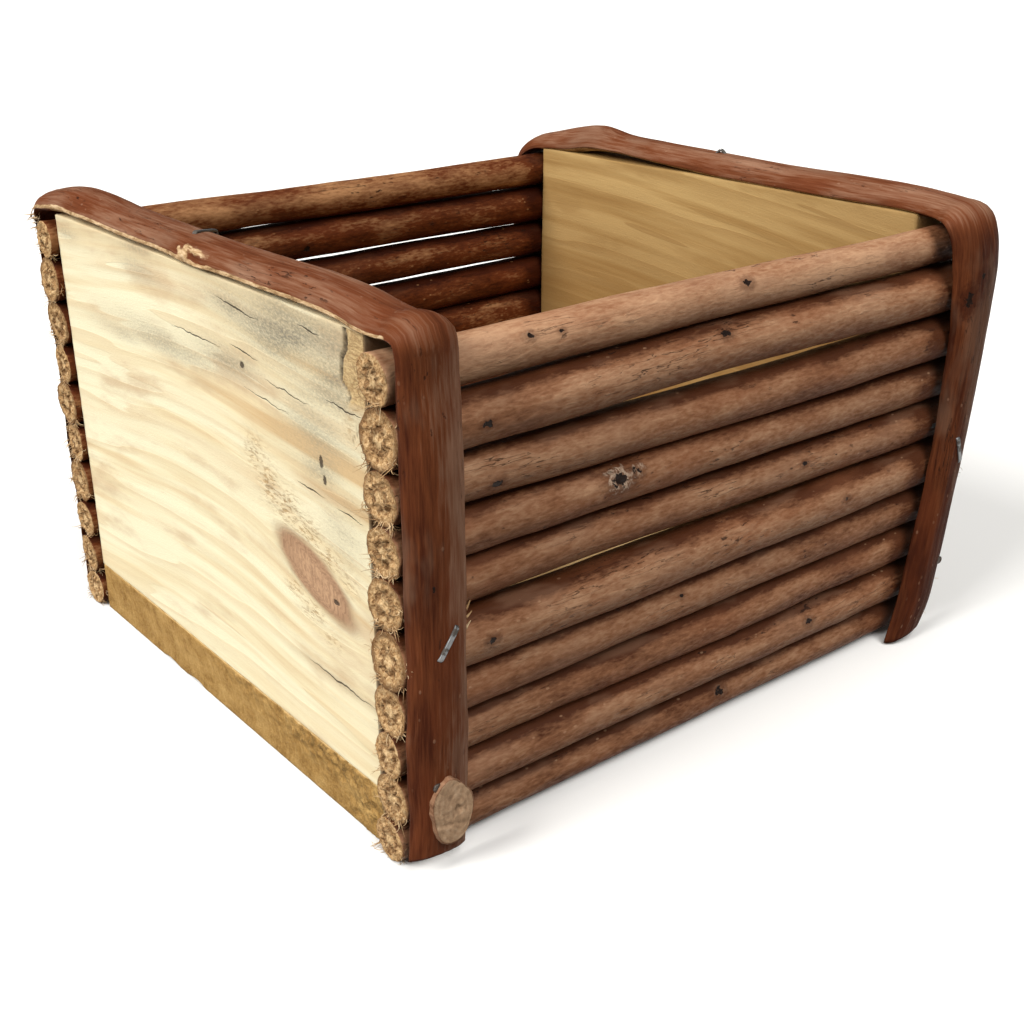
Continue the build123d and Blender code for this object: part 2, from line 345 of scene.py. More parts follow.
def barkPaint(name, settings, knots=()):
    # bark where cut is 0 and sawn wood where it is 1, from noises stretched along the grain
    paint, tree, shader = newPaint(name)
    grain = mark(tree, "grain")
    cut = mark(tree, "cut", "Fac")
    # the tone mark holds each piece's lightness, painted light and shade included
    tone = mark(tree, "tone", "Fac")
    fine = noise(tree, grain, settings["fine"], 5, 0.6)
    broad = noise(tree, grain, settings["broad"], 4, 0.6)
    patch = noise(tree, grain, (22, 60, 60), 2)
    value = timesPlus(tree, broad, 0.60, timesPlus(tree, fine, 0.54, tone))
    value = timesPlus(tree, patch, 0.45, calc(tree, "ADD", value, settings["lean"]))
    bark = ramp(tree, value, [(0.26, settings["dark"]), (0.50, settings["mid"]), (0.78, settings["light"])])
    # redder and greyer patches
    hue = noise(tree, grain, (30, 90, 90), 3)
    bark = mix(tree, span(tree, hue, 0.50, 0.68, 0.0, settings["hueShare"]), bark, settings["red"])
    bark = mix(tree, span(tree, hue, 0.48, 0.32, 0.0, settings["hueShare"]), bark, settings["grey"])
    # hairline splits along the bark where one stretched noise crosses its middle value
    line = calc(tree, "ABSOLUTE", calc(tree, "SUBTRACT", noise(tree, grain, (36, 420, 420), 3), 0.5))
    split = times(tree, span(tree, line, 0.008, 0.0), span(tree, patch, 0.54, 0.64))
    # short black flecks gathered in a few places
    fleck = times(tree, span(tree, noise(tree, grain, (210, 560, 560), 3, 0.6), 0.62, 0.68),
                 span(tree, noise(tree, grain, (18, 75, 75), 2), 0.56, 0.66))
    split = calc(tree, "MAXIMUM", split, fleck)
    bark = mix(tree, times(tree, split, 0.8), bark, settings["crack"])
    # small corky dots
    dots = put(tree, "TexVoronoi", {"Vector": stretch(tree, grain, (190, 330, 330)), "Scale": 1.0})
    dot = times(tree, span(tree, dots.outputs["Distance"], 0.17, 0.09),
               span(tree, noise(tree, grain, (40, 90, 90), 1), 0.52, 0.62))
    bark = mix(tree, times(tree, dot, 0.5), bark, settings["light"])
    height = timesPlus(tree, split, -0.9, times(tree, broad, 0.8))
    height = timesPlus(tree, fine, 0.75, height)
    height = timesPlus(tree, dot, 0.25, height)
    # knots: a black heart in a pale ring, each at its own place on the object
    place = put(tree, "TexCoord", {}).outputs["Object"]
    rough = noise(tree, place, (620, 620, 620), 3)
    pale = noise(tree, place, (900, 500, 700), 2)
    for spot in knots:
        away = pushed(tree, far(tree, stretch(tree, place, spot["scale"], spot["shift"])), rough, 2.6)
        halo = span(tree, away, 3.0, 1.2)
        bark = mix(tree, times(tree, halo, spot["halo"]), bark, settings["dark"])
        if spot["ring"]:
            ring = times(tree, span(tree, away, 1.9, 1.3), spot["ring"])
            ring = times(tree, ring, span(tree, pale, 0.42, 0.60, 0.1, 1.0))
            bark = mix(tree, ring, bark, settings["scar"])
        bark = mix(tree, span(tree, away, 1.0, 0.75), bark, (0.010, 0.004, 0.002))
        height = calc(tree, "SUBTRACT", height, span(tree, away, 1.0, 0.5))
    # cut wood: torn fibres; on a round end a pale pith, a ring of dark crevices round it and a brown rim
    fibre = noise(tree, grain, (300, 1300, 1300), 4, 0.7)
    coarse = noise(tree, grain, (150, 480, 480), 3, 0.6)
    torn = timesPlus(tree, fibre, 0.60, times(tree, coarse, 0.45))
    if "rings" in settings:
        # faint growth rings: a sine of the distance from the pith
        across = far(tree, stretch(tree, grain, (0, 1, 1)))
        wave = times(tree, timesPlus(tree, coarse, 0.7 * mm, across), settings["rings"])
        wave = calc(tree, "SINE", wave)
        torn = timesPlus(tree, wave, 0.020, timesPlus(tree, torn, 0.5, 0.26))
    if settings["radial"]:
        across = pushed(tree, far(tree, stretch(tree, grain, (0, 1, 1))), coarse, 4.2 * mm)
        heart = span(tree, across, 2.6 * mm, 1.5 * mm)
        ring = times(tree, span(tree, across, 1.5 * mm, 2.5 * mm), span(tree, across, 5.0 * mm, 3.6 * mm))
        pits = times(tree, ring, span(tree, noise(tree, grain, (100, 760, 760), 3, 0.6), 0.50, 0.60))
        torn = timesPlus(tree, heart, 0.07, torn)
    wood = ramp(tree, torn, [(0.38, settings["woodDark"]), (0.51, settings["wood"]),
                             (0.64, settings["woodPale"])])
    if settings["radial"]:
        wood = mix(tree, times(tree, ring, 0.42), wood, settings["woodDark"])
        wood = mix(tree, times(tree, pits, 0.55), wood, settings["woodDark"])
        wood = mix(tree, span(tree, across, 6.2 * mm, 8.2 * mm, 0.0, 0.75), wood, settings["woodDark"])
        torn = timesPlus(tree, pits, -0.5, torn)
    edge = span(tree, pushed(tree, cut, coarse, 0.8), 0.38, 0.58)
    colour = mix(tree, edge, bark, wood)
    height = mix(tree, edge, height, times(tree, torn, 1.6))
    roughness = timesPlus(tree, edge, 0.30,
                     span(tree, fine, 0.3, 0.7, settings["gloss"] + 0.22, settings["gloss"]))
    finishPaint(tree, shader, colour, roughness, bump(tree, height, 0.45 * mm, 0.9))
    shader.inputs["Specular IOR Level"].default_value = settings["shine"]
    return paint


# willow rods

rodSettings = dict(
    rowStep=1.0 * mm, columns=72, endRings=15,
    bend=0.35 * mm, swell=0.36 * mm, dent=0.13 * mm, ridge=0.06 * mm, oval=0.025,
    endShift=0.7 * mm, endTilt=0.07, endTorn=0.45 * mm, flare=0.35 * mm,
)
# per rod, bottom to top: lightness, partly painted light: painted shade darkens the lower front rods and the
# back wall's rods, and painted light brightens each wall's top rod
rodToneAndShade = dict(
    front=[-0.10, -0.06, -0.09, -0.05, 0.01, -0.05, -0.01, 0.0, 0.0, 0.13],
    back=[-0.02, -0.03, -0.04, -0.02, -0.03, -0.05, -0.11, -0.09, -0.05, 0.07],
)
# per rod: how far it rises, how far it bows out of the box, and where along it (0 to 1) it does so most
rodBows = dict(
    front=[(0, 0, 0.5), (0.2, 0, 0.4), (-0.2, 0.3, 0.6), (0.1, 0, 0.5), (-1.2, 0.6, 0.2), (0.8, -0.8, 0.2),
           (0.2, 0.3, 0.6), (-0.9, 0.5, 0.54), (0.9, -0.6, 0.50), (0.5, 0, 0.5)],
    back=[(0, 0, 0.5), (0.2, 0, 0.4), (-0.2, 0, 0.6), (0.1, 0, 0.4), (-0.3, 0, 0.5), (0.2, 0, 0.5),
          (-0.9, 0, 0.6), (0.3, 0, 0.6), (0.6, 0, 0.7), (-0.45, 0, 0.5)],
)
# knots: wall, rod, place along the rod, degrees up from straight out, size, lift, pit, halo, ring
knotList = [
    ("front", 7, -47.0, 24, 2.2, 1.0, 1.5, 0.75, 0.8),
    ("front", 7, -39.5, 32, 1.3, 0.6, 0.5, 0.6, 0.55),
    ("front", 10, -80, 35, 0.9, 0.3, 0.4, 0.5, 0.15),
    ("front", 10, -69, 30, 0.6, 0.1, 0.2, 0.4, 0.0),
    ("front", 10, 6, 38, 1.2, 0.4, 0.5, 0.5, 0.0),
    ("front", 8, -93, -14, 1.1, 0.2, 0.5, 0.6, 0.0),
    ("front", 9, -98, 2, 1.0, 0.3, 0.3, 0.5, 0.0),
    ("front", 9, -4, 48, 1.2, 0.1, 0.6, 0.6, 0.0),
    ("front", 5, -97, 2, 1.1, 0.3, 0.4, 0.6, 0.0),
    ("front", 6, 40, 20, 0.8, 0.2, 0.3, 0.5, 0.0),
    ("front", 2, 52, 20, 1.1, 0.4, 0.5, 0.6, 0.1),
    ("front", 1, 9, 25, 1.5, 0.4, 0.6, 0.6, 0.1),
    ("front", 5, 62, 10, 0.8, 0.2, 0.3, 0.5, 0.0),
    ("front", 4, -15, 30, 0.7, 0.2, 0.3, 0.4, 0.0),
    ("back", 9, -20, -165, 1.2, 0.4, 0.5, 0.5, 0.0),
    ("back", 5, 30, 10, 1.8, 0.5, 0.8, 0.5, 0.5),
    ("back", 8, -60, 15, 1.3, 0.4, 0.6, 0.5, 0.2),
]
wallOut = dict(front=-1, back=1)
wallFinish = dict(front=("willowBark", rodBark), back=("shadedRedWillowBark", shadedRedBark))
rodCount = 10


def rodEnds(node):
    # centre and radius of the round section at each end, from the node's own points
    points = nodePoints(node)
    ends = []
    for x in (points[:, 0].min(), points[:, 0].max()):
        ring = points[np.abs(points[:, 0] - x) < 0.2 * mm]
        low, high = ring.min(0), ring.max(0)
        ends.append((np.array([x, (low[1] + high[1]) / 2, (low[2] + high[2]) / 2]), (high[2] - low[2]) / 2))
    return ends


def knotSpots(wall, number, ends):
    # places of this rod's knots, with their angle round the rod
    spots = []
    for face, rod, x, degrees, size, lift, pit, halo, ring in knotList:
        if (face, rod) == (wall, number):
            share = (x * mm - ends[0][0][0]) / (ends[1][0][0] - ends[0][0][0])
            centre = ends[0][0] * (1 - share) + ends[1][0] * share
            radius = ends[0][1] * (1 - share) + ends[1][1] * share
            angle = np.radians(degrees)
            way = np.array([0, wallOut[wall] * np.cos(angle), np.sin(angle)])
            spots.append(dict(x=x * mm, angle=angle, size=size * mm, lift=lift * mm, pit=pit * mm, halo=halo,
                              ring=ring, point=centre + way * radius))
    return spots


def rodSurface(wall, number, settings):
    # a point is the bent centre line at x, plus the radius at (x, angle) turned by the angle; the radius is
    # an even taper with swellings, lengthwise ridges and knots, and the end rings shrink it to the pith
    ends = rodEnds(f"{wall}_rod_{number:02d}")
    (leftPoint, leftRadius), (rightPoint, rightRadius) = ends
    seed = number * 7 + (100 if wall == "back" else 0)
    draw = np.random.default_rng(seed)
    rings = np.linspace(0.08, 0.97, settings["endRings"])
    length = rightPoint[0] - leftPoint[0]
    along = np.linspace(0.25 * mm, length - 0.25 * mm, int(length / settings["rowStep"]))
    x = np.concatenate([np.zeros(len(rings)), along, np.full(len(rings), length)])
    shrink = np.concatenate([rings, np.ones(len(along)), rings[::-1]])[:, None]
    isEnd = np.concatenate([np.ones(len(rings)), np.zeros(len(along)), np.ones(len(rings))])[:, None]
    share = (x / length)[:, None]
    angle = (np.arange(settings["columns"]) * 2 * np.pi / settings["columns"])[None, :]
    out, up = np.cos(angle), np.sin(angle)
    radius = leftRadius * (1 - share) + rightRadius * share
    onRod = np.stack(np.broadcast_arrays(x[:, None], out * radius, up * radius), -1)
    radius = radius * (1 + settings["oval"] * np.cos(2 * angle + seed))
    radius = radius + settings["swell"] * smoothNoise(onRod * (32, 55, 55) + seed, seed)
    radius = radius + settings["dent"] * smoothNoise(onRod * (95, 170, 170) + seed, seed + 7)
    radius = radius + settings["ridge"] * roughNoise(onRod * (70, 600, 600) + seed, seed + 3, 2)
    for spot in knotSpots(wall, number, ends):
        turn = (angle - spot["angle"] + np.pi) % (2 * np.pi) - np.pi
        away = np.hypot((x[:, None] + leftPoint[0] - spot["x"]) / 1.5, turn * radius) / spot["size"]
        radius = (radius + spot["lift"] * np.exp(-(away / 1.7) ** 2)
                  - spot["pit"] * np.exp(-(away / 0.65) ** 2))
    nearEnd = np.exp(-np.minimum(x, length - x) / (1.2 * mm))[:, None]
    flare = 0.5 + smoothNoise(onRod * (1, 420, 420) + seed, seed + 5)
    radius = radius + settings["flare"] * nearEnd * flare
    bend = draw.uniform(-1, 1, (3, 2)) * settings["bend"] / np.array([[1], [1.6], [2.5]])
    bend[0, 1] = bend[0, 1] * 0.3
    rise, bow, most = rodBows[wall][number - 1]
    swing = np.sin(np.pi * share) * np.exp(-((share - most) / 0.38) ** 2)
    waves = [np.sin((k + 1) * np.pi * share) for k in range(3)]
    y = leftPoint[1] * (1 - share) + rightPoint[1] * share + sum(w * b for w, b in zip(waves, bend[:, 0]))
    y = y + wallOut[wall] * bow * mm * swing
    z = leftPoint[2] * (1 - share) + rightPoint[2] * share + sum(w * b for w, b in zip(waves, bend[:, 1]))
    z = z + rise * mm * swing
    dy, dz = wallOut[wall] * out * radius * shrink, up * radius * shrink
    # sawn ends: each one is a little longer or shorter, tilted, with torn fibres standing up
    shift = draw.uniform(-1, 1, 2) * settings["endShift"]
    tilt = draw.uniform(-1, 1, (2, 2)) * settings["endTilt"]
    side = np.where(share < 0.5, 0, 1)[:, 0]
    face = shift[side][:, None] + tilt[side, 0][:, None] * dy + tilt[side, 1][:, None] * dz
    torn = roughNoise(np.stack([share * 9 + 0 * dy, dy * 900, dz * 900], -1) + seed, seed + 9, 3)
    torn = (torn * (0.5 + 1.6 * np.exp(-((shrink - 0.52) / 0.24) ** 2))
            - 0.5 * np.exp(-((shrink - 0.5) / 0.2) ** 2))
    push = nearEnd * face - isEnd * torn * settings["endTorn"] * (1 - 2 * share)
    grid = np.stack([leftPoint[0] + x[:, None] + push, y + dy, z + dz], -1)
    # painted shade darkens each rod where its neighbours meet it above and below and near the right strip,
    # and a painted highlight lightens its upper side
    topShade = 0.0 if number == rodCount else np.clip((up - 0.62) / 0.30, 0, 1)
    paintedHighlight = 0.07 * np.exp(-((up - 0.30) / 0.30) ** 2)
    stripShade = 0.30 * np.clip((grid[..., 0] - 94 * mm) / (9 * mm), 0, 1) ** 1.5
    paintedShadeAndHighlight = 0.36 * topShade - paintedHighlight + 0.20 * np.clip((-up - 0.60) / 0.35, 0, 1)
    marks = dict(
        grain=np.stack([grid[..., 0] + seed * 1.7, dy, dz], -1),
        cut=np.broadcast_to(isEnd, grid.shape[:2]),
        tone=rodToneAndShade[wall][number - 1] - paintedShadeAndHighlight - stripShade,
    )
    return grid, marks


def makeRods(settings):
    # one bark for each wall, with that wall's knots in it
    for wall, (name, finish) in wallFinish.items():
        spots = []
        for number in range(1, rodCount + 1):
            for spot in knotSpots(wall, number, rodEnds(f"{wall}_rod_{number:02d}")):
                scale = np.array([1 / 1.5, 1, 1]) / spot["size"]
                spots.append(dict(spot, scale=tuple(scale), shift=tuple(-spot["point"] * scale)))
        paint = barkPaint(name, finish, spots)
        for number in range(1, rodCount + 1):
            grid, marks = rodSurface(wall, number, settings)
            rod = makePiece(f"willowRod_{wall}_{number:02d}", grid, marks)
            rod.data.materials.append(paint)
            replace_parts(rod, f"{wall}_rod_{number:02d}")


makeRods(rodSettings)
print("willow rods made")

# boards

pineTones = dict(
    smudge=(0.60, 0.42, 0.25), shade=(0.075, 0.034, 0.015),
    pale=(0.93, 0.865, 0.62), mid=(0.85, 0.735, 0.48), warm=(0.70, 0.50, 0.27), line=(0.55, 0.34, 0.16),
    stain=(0.27, 0.245, 0.185), knot=(0.56, 0.35, 0.21), knotDark=(0.14, 0.060, 0.030),
    torn=(0.40, 0.245, 0.105), gold=(0.72, 0.53, 0.26),
)
# painted shade: a darker copy of the pine for the right board, whose inner face stands in the box's shade
shadedPineTones = dict(
    pineTones, pale=(0.46, 0.305, 0.125), mid=(0.365, 0.225, 0.082), warm=(0.27, 0.150, 0.048),
    line=(0.20, 0.10, 0.030), smudge=(0.30, 0.175, 0.060), shade=(0.19, 0.095, 0.028),
)
# checks along the grain of the left board: from y, to y, height in the grain's frame, half width
boardChecks = [
    (-46, -20, 144.6, 0.32), (-79, -68, 149.8, 0.28), (-21, 12, 129.2, 0.22), (-44, -27, 132.2, 0.25),
    (-71, -47, 127.6, 0.20), (-99, -80, 132.0, 0.28), (-77, -62, 100.8, 0.30), (-97, -83, 100.5, 0.22),
    (-99, -60, 43.6, 0.35), (-60, -34, 121.0, 0.16),
]
boardHoles = [
    (-76.2, 117.9, 1.0, 1.9), (-77.6, 112.8, 0.9, 1.4), (-34.0, 135.8, 1.3, 1.1), (-80.0, 75.2, 1.6, 0.9),
]


def pinePaint(name, tones, checks=(), holes=()):
    # sawn pine: streaks and growth rings along the grain, with stain, tears, a knot and checks over them
    paint, tree, shader = newPaint(name)
    grain = mark(tree, "grain")
    stain = mark(tree, "stain", "Fac")
    knot = mark(tree, "knot", "Fac")
    torn = mark(tree, "torn", "Fac")
    broad = noise(tree, grain, (5, 75, 30), 2)
    streak = noise(tree, grain, (7, 170, 45), 3)
    fibre = noise(tree, grain, (70, 2600, 2600), 4, 0.6)
    fuzz = noise(tree, grain, (650, 1300, 1300), 4, 0.7)
    parts = put(tree, "SeparateXYZ", {0: grain})
    along, across = parts.outputs[0], parts.outputs[1]
    # growth rings: a saw-tooth of the height across the grain, pushed about by the broad noise
    rings = calc(tree, "FRACT", timesPlus(tree, across, 55, times(tree, broad, 3.4)))
    late = times(tree, span(tree, rings, 0.45, 0.96), span(tree, rings, 1.0, 0.97))
    value = timesPlus(tree, streak, 0.55, times(tree, broad, 0.45))
    colour = ramp(tree, value, [(0.33, tones["warm"]), (0.44, tones["mid"]), (0.53, tones["pale"])])
    share = times(tree, late, span(tree, streak, 0.35, 0.65, 0.10, 0.50))
    colour = mix(tree, share, colour, tones["warm"])
    colour = mix(tree, times(tree, span(tree, fibre, 0.60, 0.75), 0.35), colour, tones["line"])
    smudge = span(tree, noise(tree, grain, (16, 55, 40), 4, 0.6), 0.50, 0.68, 0.0, 0.55)
    colour = mix(tree, smudge, colour, tones["smudge"])
    # blue-grey stain, patchy, and the saw's rough torn patches
    share = times(tree, stain, span(tree, fuzz, 0.30, 0.62, 0.35, 1.0))
    share = times(tree, share, span(tree, noise(tree, grain, (25, 130, 60), 3), 0.38, 0.60, 0.60, 1.0))
    colour = mix(tree, times(tree, stain, 0.22), colour, tones["warm"])
    # fine saw fuzz with dark specks, thickest where the board is stained
    speck = span(tree, noise(tree, grain, (900, 1700, 1500), 3, 0.7), 0.56, 0.66)
    speck = times(tree, speck, timesPlus(tree, stain, 0.60, 0.08))
    colour = mix(tree, speck, colour, tones["torn"])
    colour = mix(tree, share, colour, tones["stain"])
    colour = mix(tree, times(tree, torn, 0.35), colour, tones["warm"])
    share = times(tree, torn, span(tree, noise(tree, grain, (330, 800, 600), 4, 0.65), 0.46, 0.62))
    colour = mix(tree, times(tree, share, 0.85), colour, tones["torn"])
    # a golden corner, split off by the ragged check
    gold = mix(tree, span(tree, fuzz, 0.4, 0.65), tones["torn"], tones["gold"])
    colour = mix(tree, times(tree, mark(tree, "gold", "Fac"), 0.8), colour, gold)
    height = timesPlus(tree, fibre, 0.5, times(tree, late, 0.25))
    height = timesPlus(tree, share, -0.9, height)
    fluff = times(tree, span(tree, fuzz, 0.45, 0.70), span(tree, broad, 0.40, 0.60, 0.15, 0.45))
    height = timesPlus(tree, fluff, 0.5, height)
    # the knot: reddish, with its own rings and a darker rim
    wobble = pushed(tree, knot, streak, 0.35)
    inside = span(tree, wobble, 0.42, 0.58)
    rim = times(tree, span(tree, wobble, 0.36, 0.50), span(tree, wobble, 0.66, 0.50))
    knotRings = calc(tree, "SINE", timesPlus(tree, broad, 9.0, times(tree, knot, 17)))
    knotColour = mix(tree, span(tree, knotRings, -1.0, 1.4, 0.0, 0.22), tones["knot"], tones["knotDark"])
    knotColour = mix(tree, span(tree, fuzz, 0.42, 0.62, 0.0, 0.42), knotColour, tones["knotDark"])
    colour = mix(tree, inside, colour, knotColour)
    colour = mix(tree, times(tree, rim, 0.22), colour, tones["knotDark"])
    # painted shade, where a board's shade mark asks for it
    colour = mix(tree, mark(tree, "shade", "Fac"), colour, tones["shade"])
    # drying checks: thin dark lines along the grain, wavering and tapering to nothing
    dark = 0.0
    waver = calc(tree, "SUBTRACT", noise(tree, grain, (160, 30, 30), 3), 0.5)
    waver = times(tree, waver, 2.6 * mm)
    for low, high, level, half in checks:
        middle, reach = (low + high) / 2 * mm, (high - low) / 2 * mm
        past = calc(tree, "ABSOLUTE", calc(tree, "SUBTRACT", along, middle))
        off = calc(tree, "ABSOLUTE", calc(tree, "SUBTRACT", calc(tree, "ADD", across, waver), level * mm))
        wide = timesPlus(tree, past, -half * mm / reach, half * mm)
        inCheck = span(tree, calc(tree, "SUBTRACT", off, wide), 0.10 * mm, -0.10 * mm)
        inCheck = times(tree, inCheck, calc(tree, "LESS_THAN", past, reach))
        dark = calc(tree, "MAXIMUM", dark, inCheck)
    spot = put(tree, "TexCoord", {}).outputs["Object"]
    for y, z, wideY, wideZ in holes:
        scale = (0.001, 1 / (wideY * mm), 1 / (wideZ * mm))
        away = far(tree, stretch(tree, spot, scale, (0, -y / wideY, -z / wideZ)))
        away = pushed(tree, away, fuzz, 1.6)
        dark = calc(tree, "MAXIMUM", dark, span(tree, away, 1.15, 0.75))
    dark = calc(tree, "MAXIMUM", dark, mark(tree, "crack", "Fac"))
    if checks:
        side = put(tree, "SeparateXYZ", {0: put(tree, "NewGeometry", {}).outputs["Normal"]}).outputs[0]
        dark = times(tree, dark, calc(tree, "LESS_THAN", side, -0.3))
        colour = mix(tree, times(tree, dark, 0.88), colour, (0.035, 0.022, 0.014))
        height = timesPlus(tree, dark, -1.6, height)
    roughness = span(tree, fibre, 0.3, 0.7, 0.72, 0.58)
    finishPaint(tree, shader, colour, roughness, bump(tree, height, 0.22 * mm, 0.85))
    shader.inputs["Specular IOR Level"].default_value = 0.15
    return paint


def endGrainPaint(name, tones):
    # the base board: side grain along x, and rough mottled end grain where cut is 1
    paint, tree, shader = newPaint(name)
    grain = mark(tree, "grain")
    cut = mark(tree, "cut", "Fac")
    torn = mark(tree, "torn", "Fac")
    sideFibre = noise(tree, grain, (60, 1800, 1800), 4)
    sideBand = noise(tree, grain, (7, 160, 60), 3)
    value = timesPlus(tree, sideFibre, 0.4, times(tree, sideBand, 0.6))
    side = ramp(tree, value, [(0.38, tones["warm"]), (0.48, tones["mid"]), (0.62, tones["pale"])])
    pores = noise(tree, grain, (300, 1500, 1500), 4, 0.65)
    mottle = noise(tree, grain, (60, 130, 170), 3)
    saw = noise(tree, grain, (300, 700, 60), 2)
    value = timesPlus(tree, pores, 0.40, timesPlus(tree, mottle, 0.45, times(tree, saw, 0.2)))
    end = ramp(tree, value, [(0.37, tones["endDark"]), (0.50, tones["endMid"]), (0.64, tones["endPale"])])
    clumps = noise(tree, grain, (200, 330, 380), 4, 0.7)
    flecks = times(tree, torn, span(tree, clumps, 0.46, 0.62))
    end = mix(tree, times(tree, flecks, 0.85), end, tones["fleck"])
    colour = mix(tree, span(tree, cut, 0.3, 0.7), side, end)
    height = timesPlus(tree, pores, 0.8, times(tree, clumps, timesPlus(tree, torn, 1.8, 0.25)))
    height = timesPlus(tree, sideFibre, 0.3, height)
    finishPaint(tree, shader, colour, span(tree, pores, 0.3, 0.7, 0.85, 0.65),
                bump(tree, height, 0.4 * mm, 0.9))
    shader.inputs["Specular IOR Level"].default_value = 0.12
    return paint


def boardProfile(halfU, halfW, stepU, stepW, inset, arris):
    # points round a rectangle that the inset shrinks evenly, closer at the corners, which are rounded
    def side(half, step):
        middle = np.linspace(-half + 1.2 * mm, half - 1.2 * mm, max(2, int(round(2 * half / step))))
        return np.concatenate([[-half, -half + 0.25 * mm, -half + 0.6 * mm], middle,
                               [half - 0.6 * mm, half - 0.25 * mm]]) / half
    u, w = side(halfU, stepU), side(halfW, stepW)
    unit = np.concatenate([
        np.stack([u, -np.ones_like(u)], -1), np.stack([np.ones_like(w), w], -1),
        np.stack([-u, np.ones_like(u)], -1), np.stack([-np.ones_like(w), -w], -1)])
    half = np.array([halfU, halfW]) - inset
    flat = unit * half
    core = np.clip(flat, arris - half, half - arris)
    way = flat - core
    way = way / np.maximum(np.linalg.norm(way, axis=-1, keepdims=True), 1e-9)
    return core + way * arris, way


def boardGrid(low, high, carry, along, stepU, stepW, arris, insets):
    # the profile carried along one axis, with inset rings closing each end
    low, high = np.array(low) * mm, np.array(high) * mm
    others = [axis for axis in (0, 1, 2) if axis != carry]
    middle, half = (low + high) / 2, (high - low) / 2
    rows = [(low[carry], inset) for inset in insets[::-1]]
    rows += [(place, 0.0) for place in along]
    rows += [(high[carry], inset) for inset in insets]
    grid, way = [], []
    for place, inset in rows:
        points, outward = boardProfile(*half[others], stepU, stepW, inset, arris)
        block = np.empty((len(points), 3))
        block[:, others] = points + middle[others]
        block[:, carry] = place
        normal = np.zeros_like(block)
        if inset > 0:
            normal[:, carry] = 1 if place > middle[carry] else -1
        else:
            normal[:, others] = outward
        grid.append(block)
        way.append(normal)
    return np.array(grid), np.array(way), np.array([inset > 0 for _, inset in rows])


boardSettings = dict(
    arris=0.6 * mm, warp=0.22 * mm, relief=0.07 * mm,
    endInsets=[0.8 * mm, 3 * mm, 6 * mm, 8.6 * mm],
    knotPlace=(-69.0, 79.0), knotHalf=(22.5, 8.0), knotTurn=20.5,          # mm and degrees
    push=6.0,
    arch=[(-100, 4.2), (-75, 5.2), (-50, 6.8), (-20, 9.0), (20, 8.6), (60, 4.4), (100, 0.0)],
)


def knotFrame(y, z, settings):
    # along and across the knot, each divided by its half size
    turn = np.radians(settings["knotTurn"])
    dy, dz = y - settings["knotPlace"][0], z - settings["knotPlace"][1]
    u = dy * np.cos(turn) + dz * np.sin(turn)
    w = -dy * np.sin(turn) + dz * np.cos(turn)
    return u / settings["knotHalf"][0], w / settings["knotHalf"][1]


def blob(y, z, places):
    # a soft patch: the strongest of several stretched bells, each (y, z, reach along y and z, strength)
    return np.max([s * np.exp(-((y - cy) / ry) ** 2 - ((z - cz) / rz) ** 2) for cy, cz, ry, rz, s in places],
                  axis=0)


stainPatches = [
    (-62, 151, 34, 11, 1.0), (-30, 153, 16, 6, 0.75), (-84, 146, 18, 16, 0.9), (-76, 117, 11, 7, 0.75),
    (-74, 128, 20, 14, 0.60), (-86, 100, 12, 10, 0.45), (20, 131, 42, 4.5, 0.62),
    (-22, 135.5, 22, 5.0, 0.72), (33, 152, 12, 3.4, 0.55), (92, 155, 10, 3, 0.5), (33, 159, 12, 2, 0.5),
    (-91, 108, 9, 7, 0.35), (-80, 47.5, 24, 1.6, 0.55), (55, 127, 20, 3, 0.5), (-88, 92, 7, 6, 0.3),
]
tornPatches = [
    (-38, 109, 6, 6, 0.9), (-45, 101.5, 6, 7, 1.0), (-55, 97, 8, 6, 1.0), (-66, 93, 8, 5, 0.9),
    (-78, 88, 8, 4, 0.8), (-56, 71, 5, 3, 0.8), (-66, 66.5, 7, 3.4, 0.9), (-76, 61, 6, 3, 0.6),
    (-88, 84, 6, 4, 0.6), (-96, 149, 4.0, 11, 1.0), (-92, 133, 3, 5, 0.5),
]


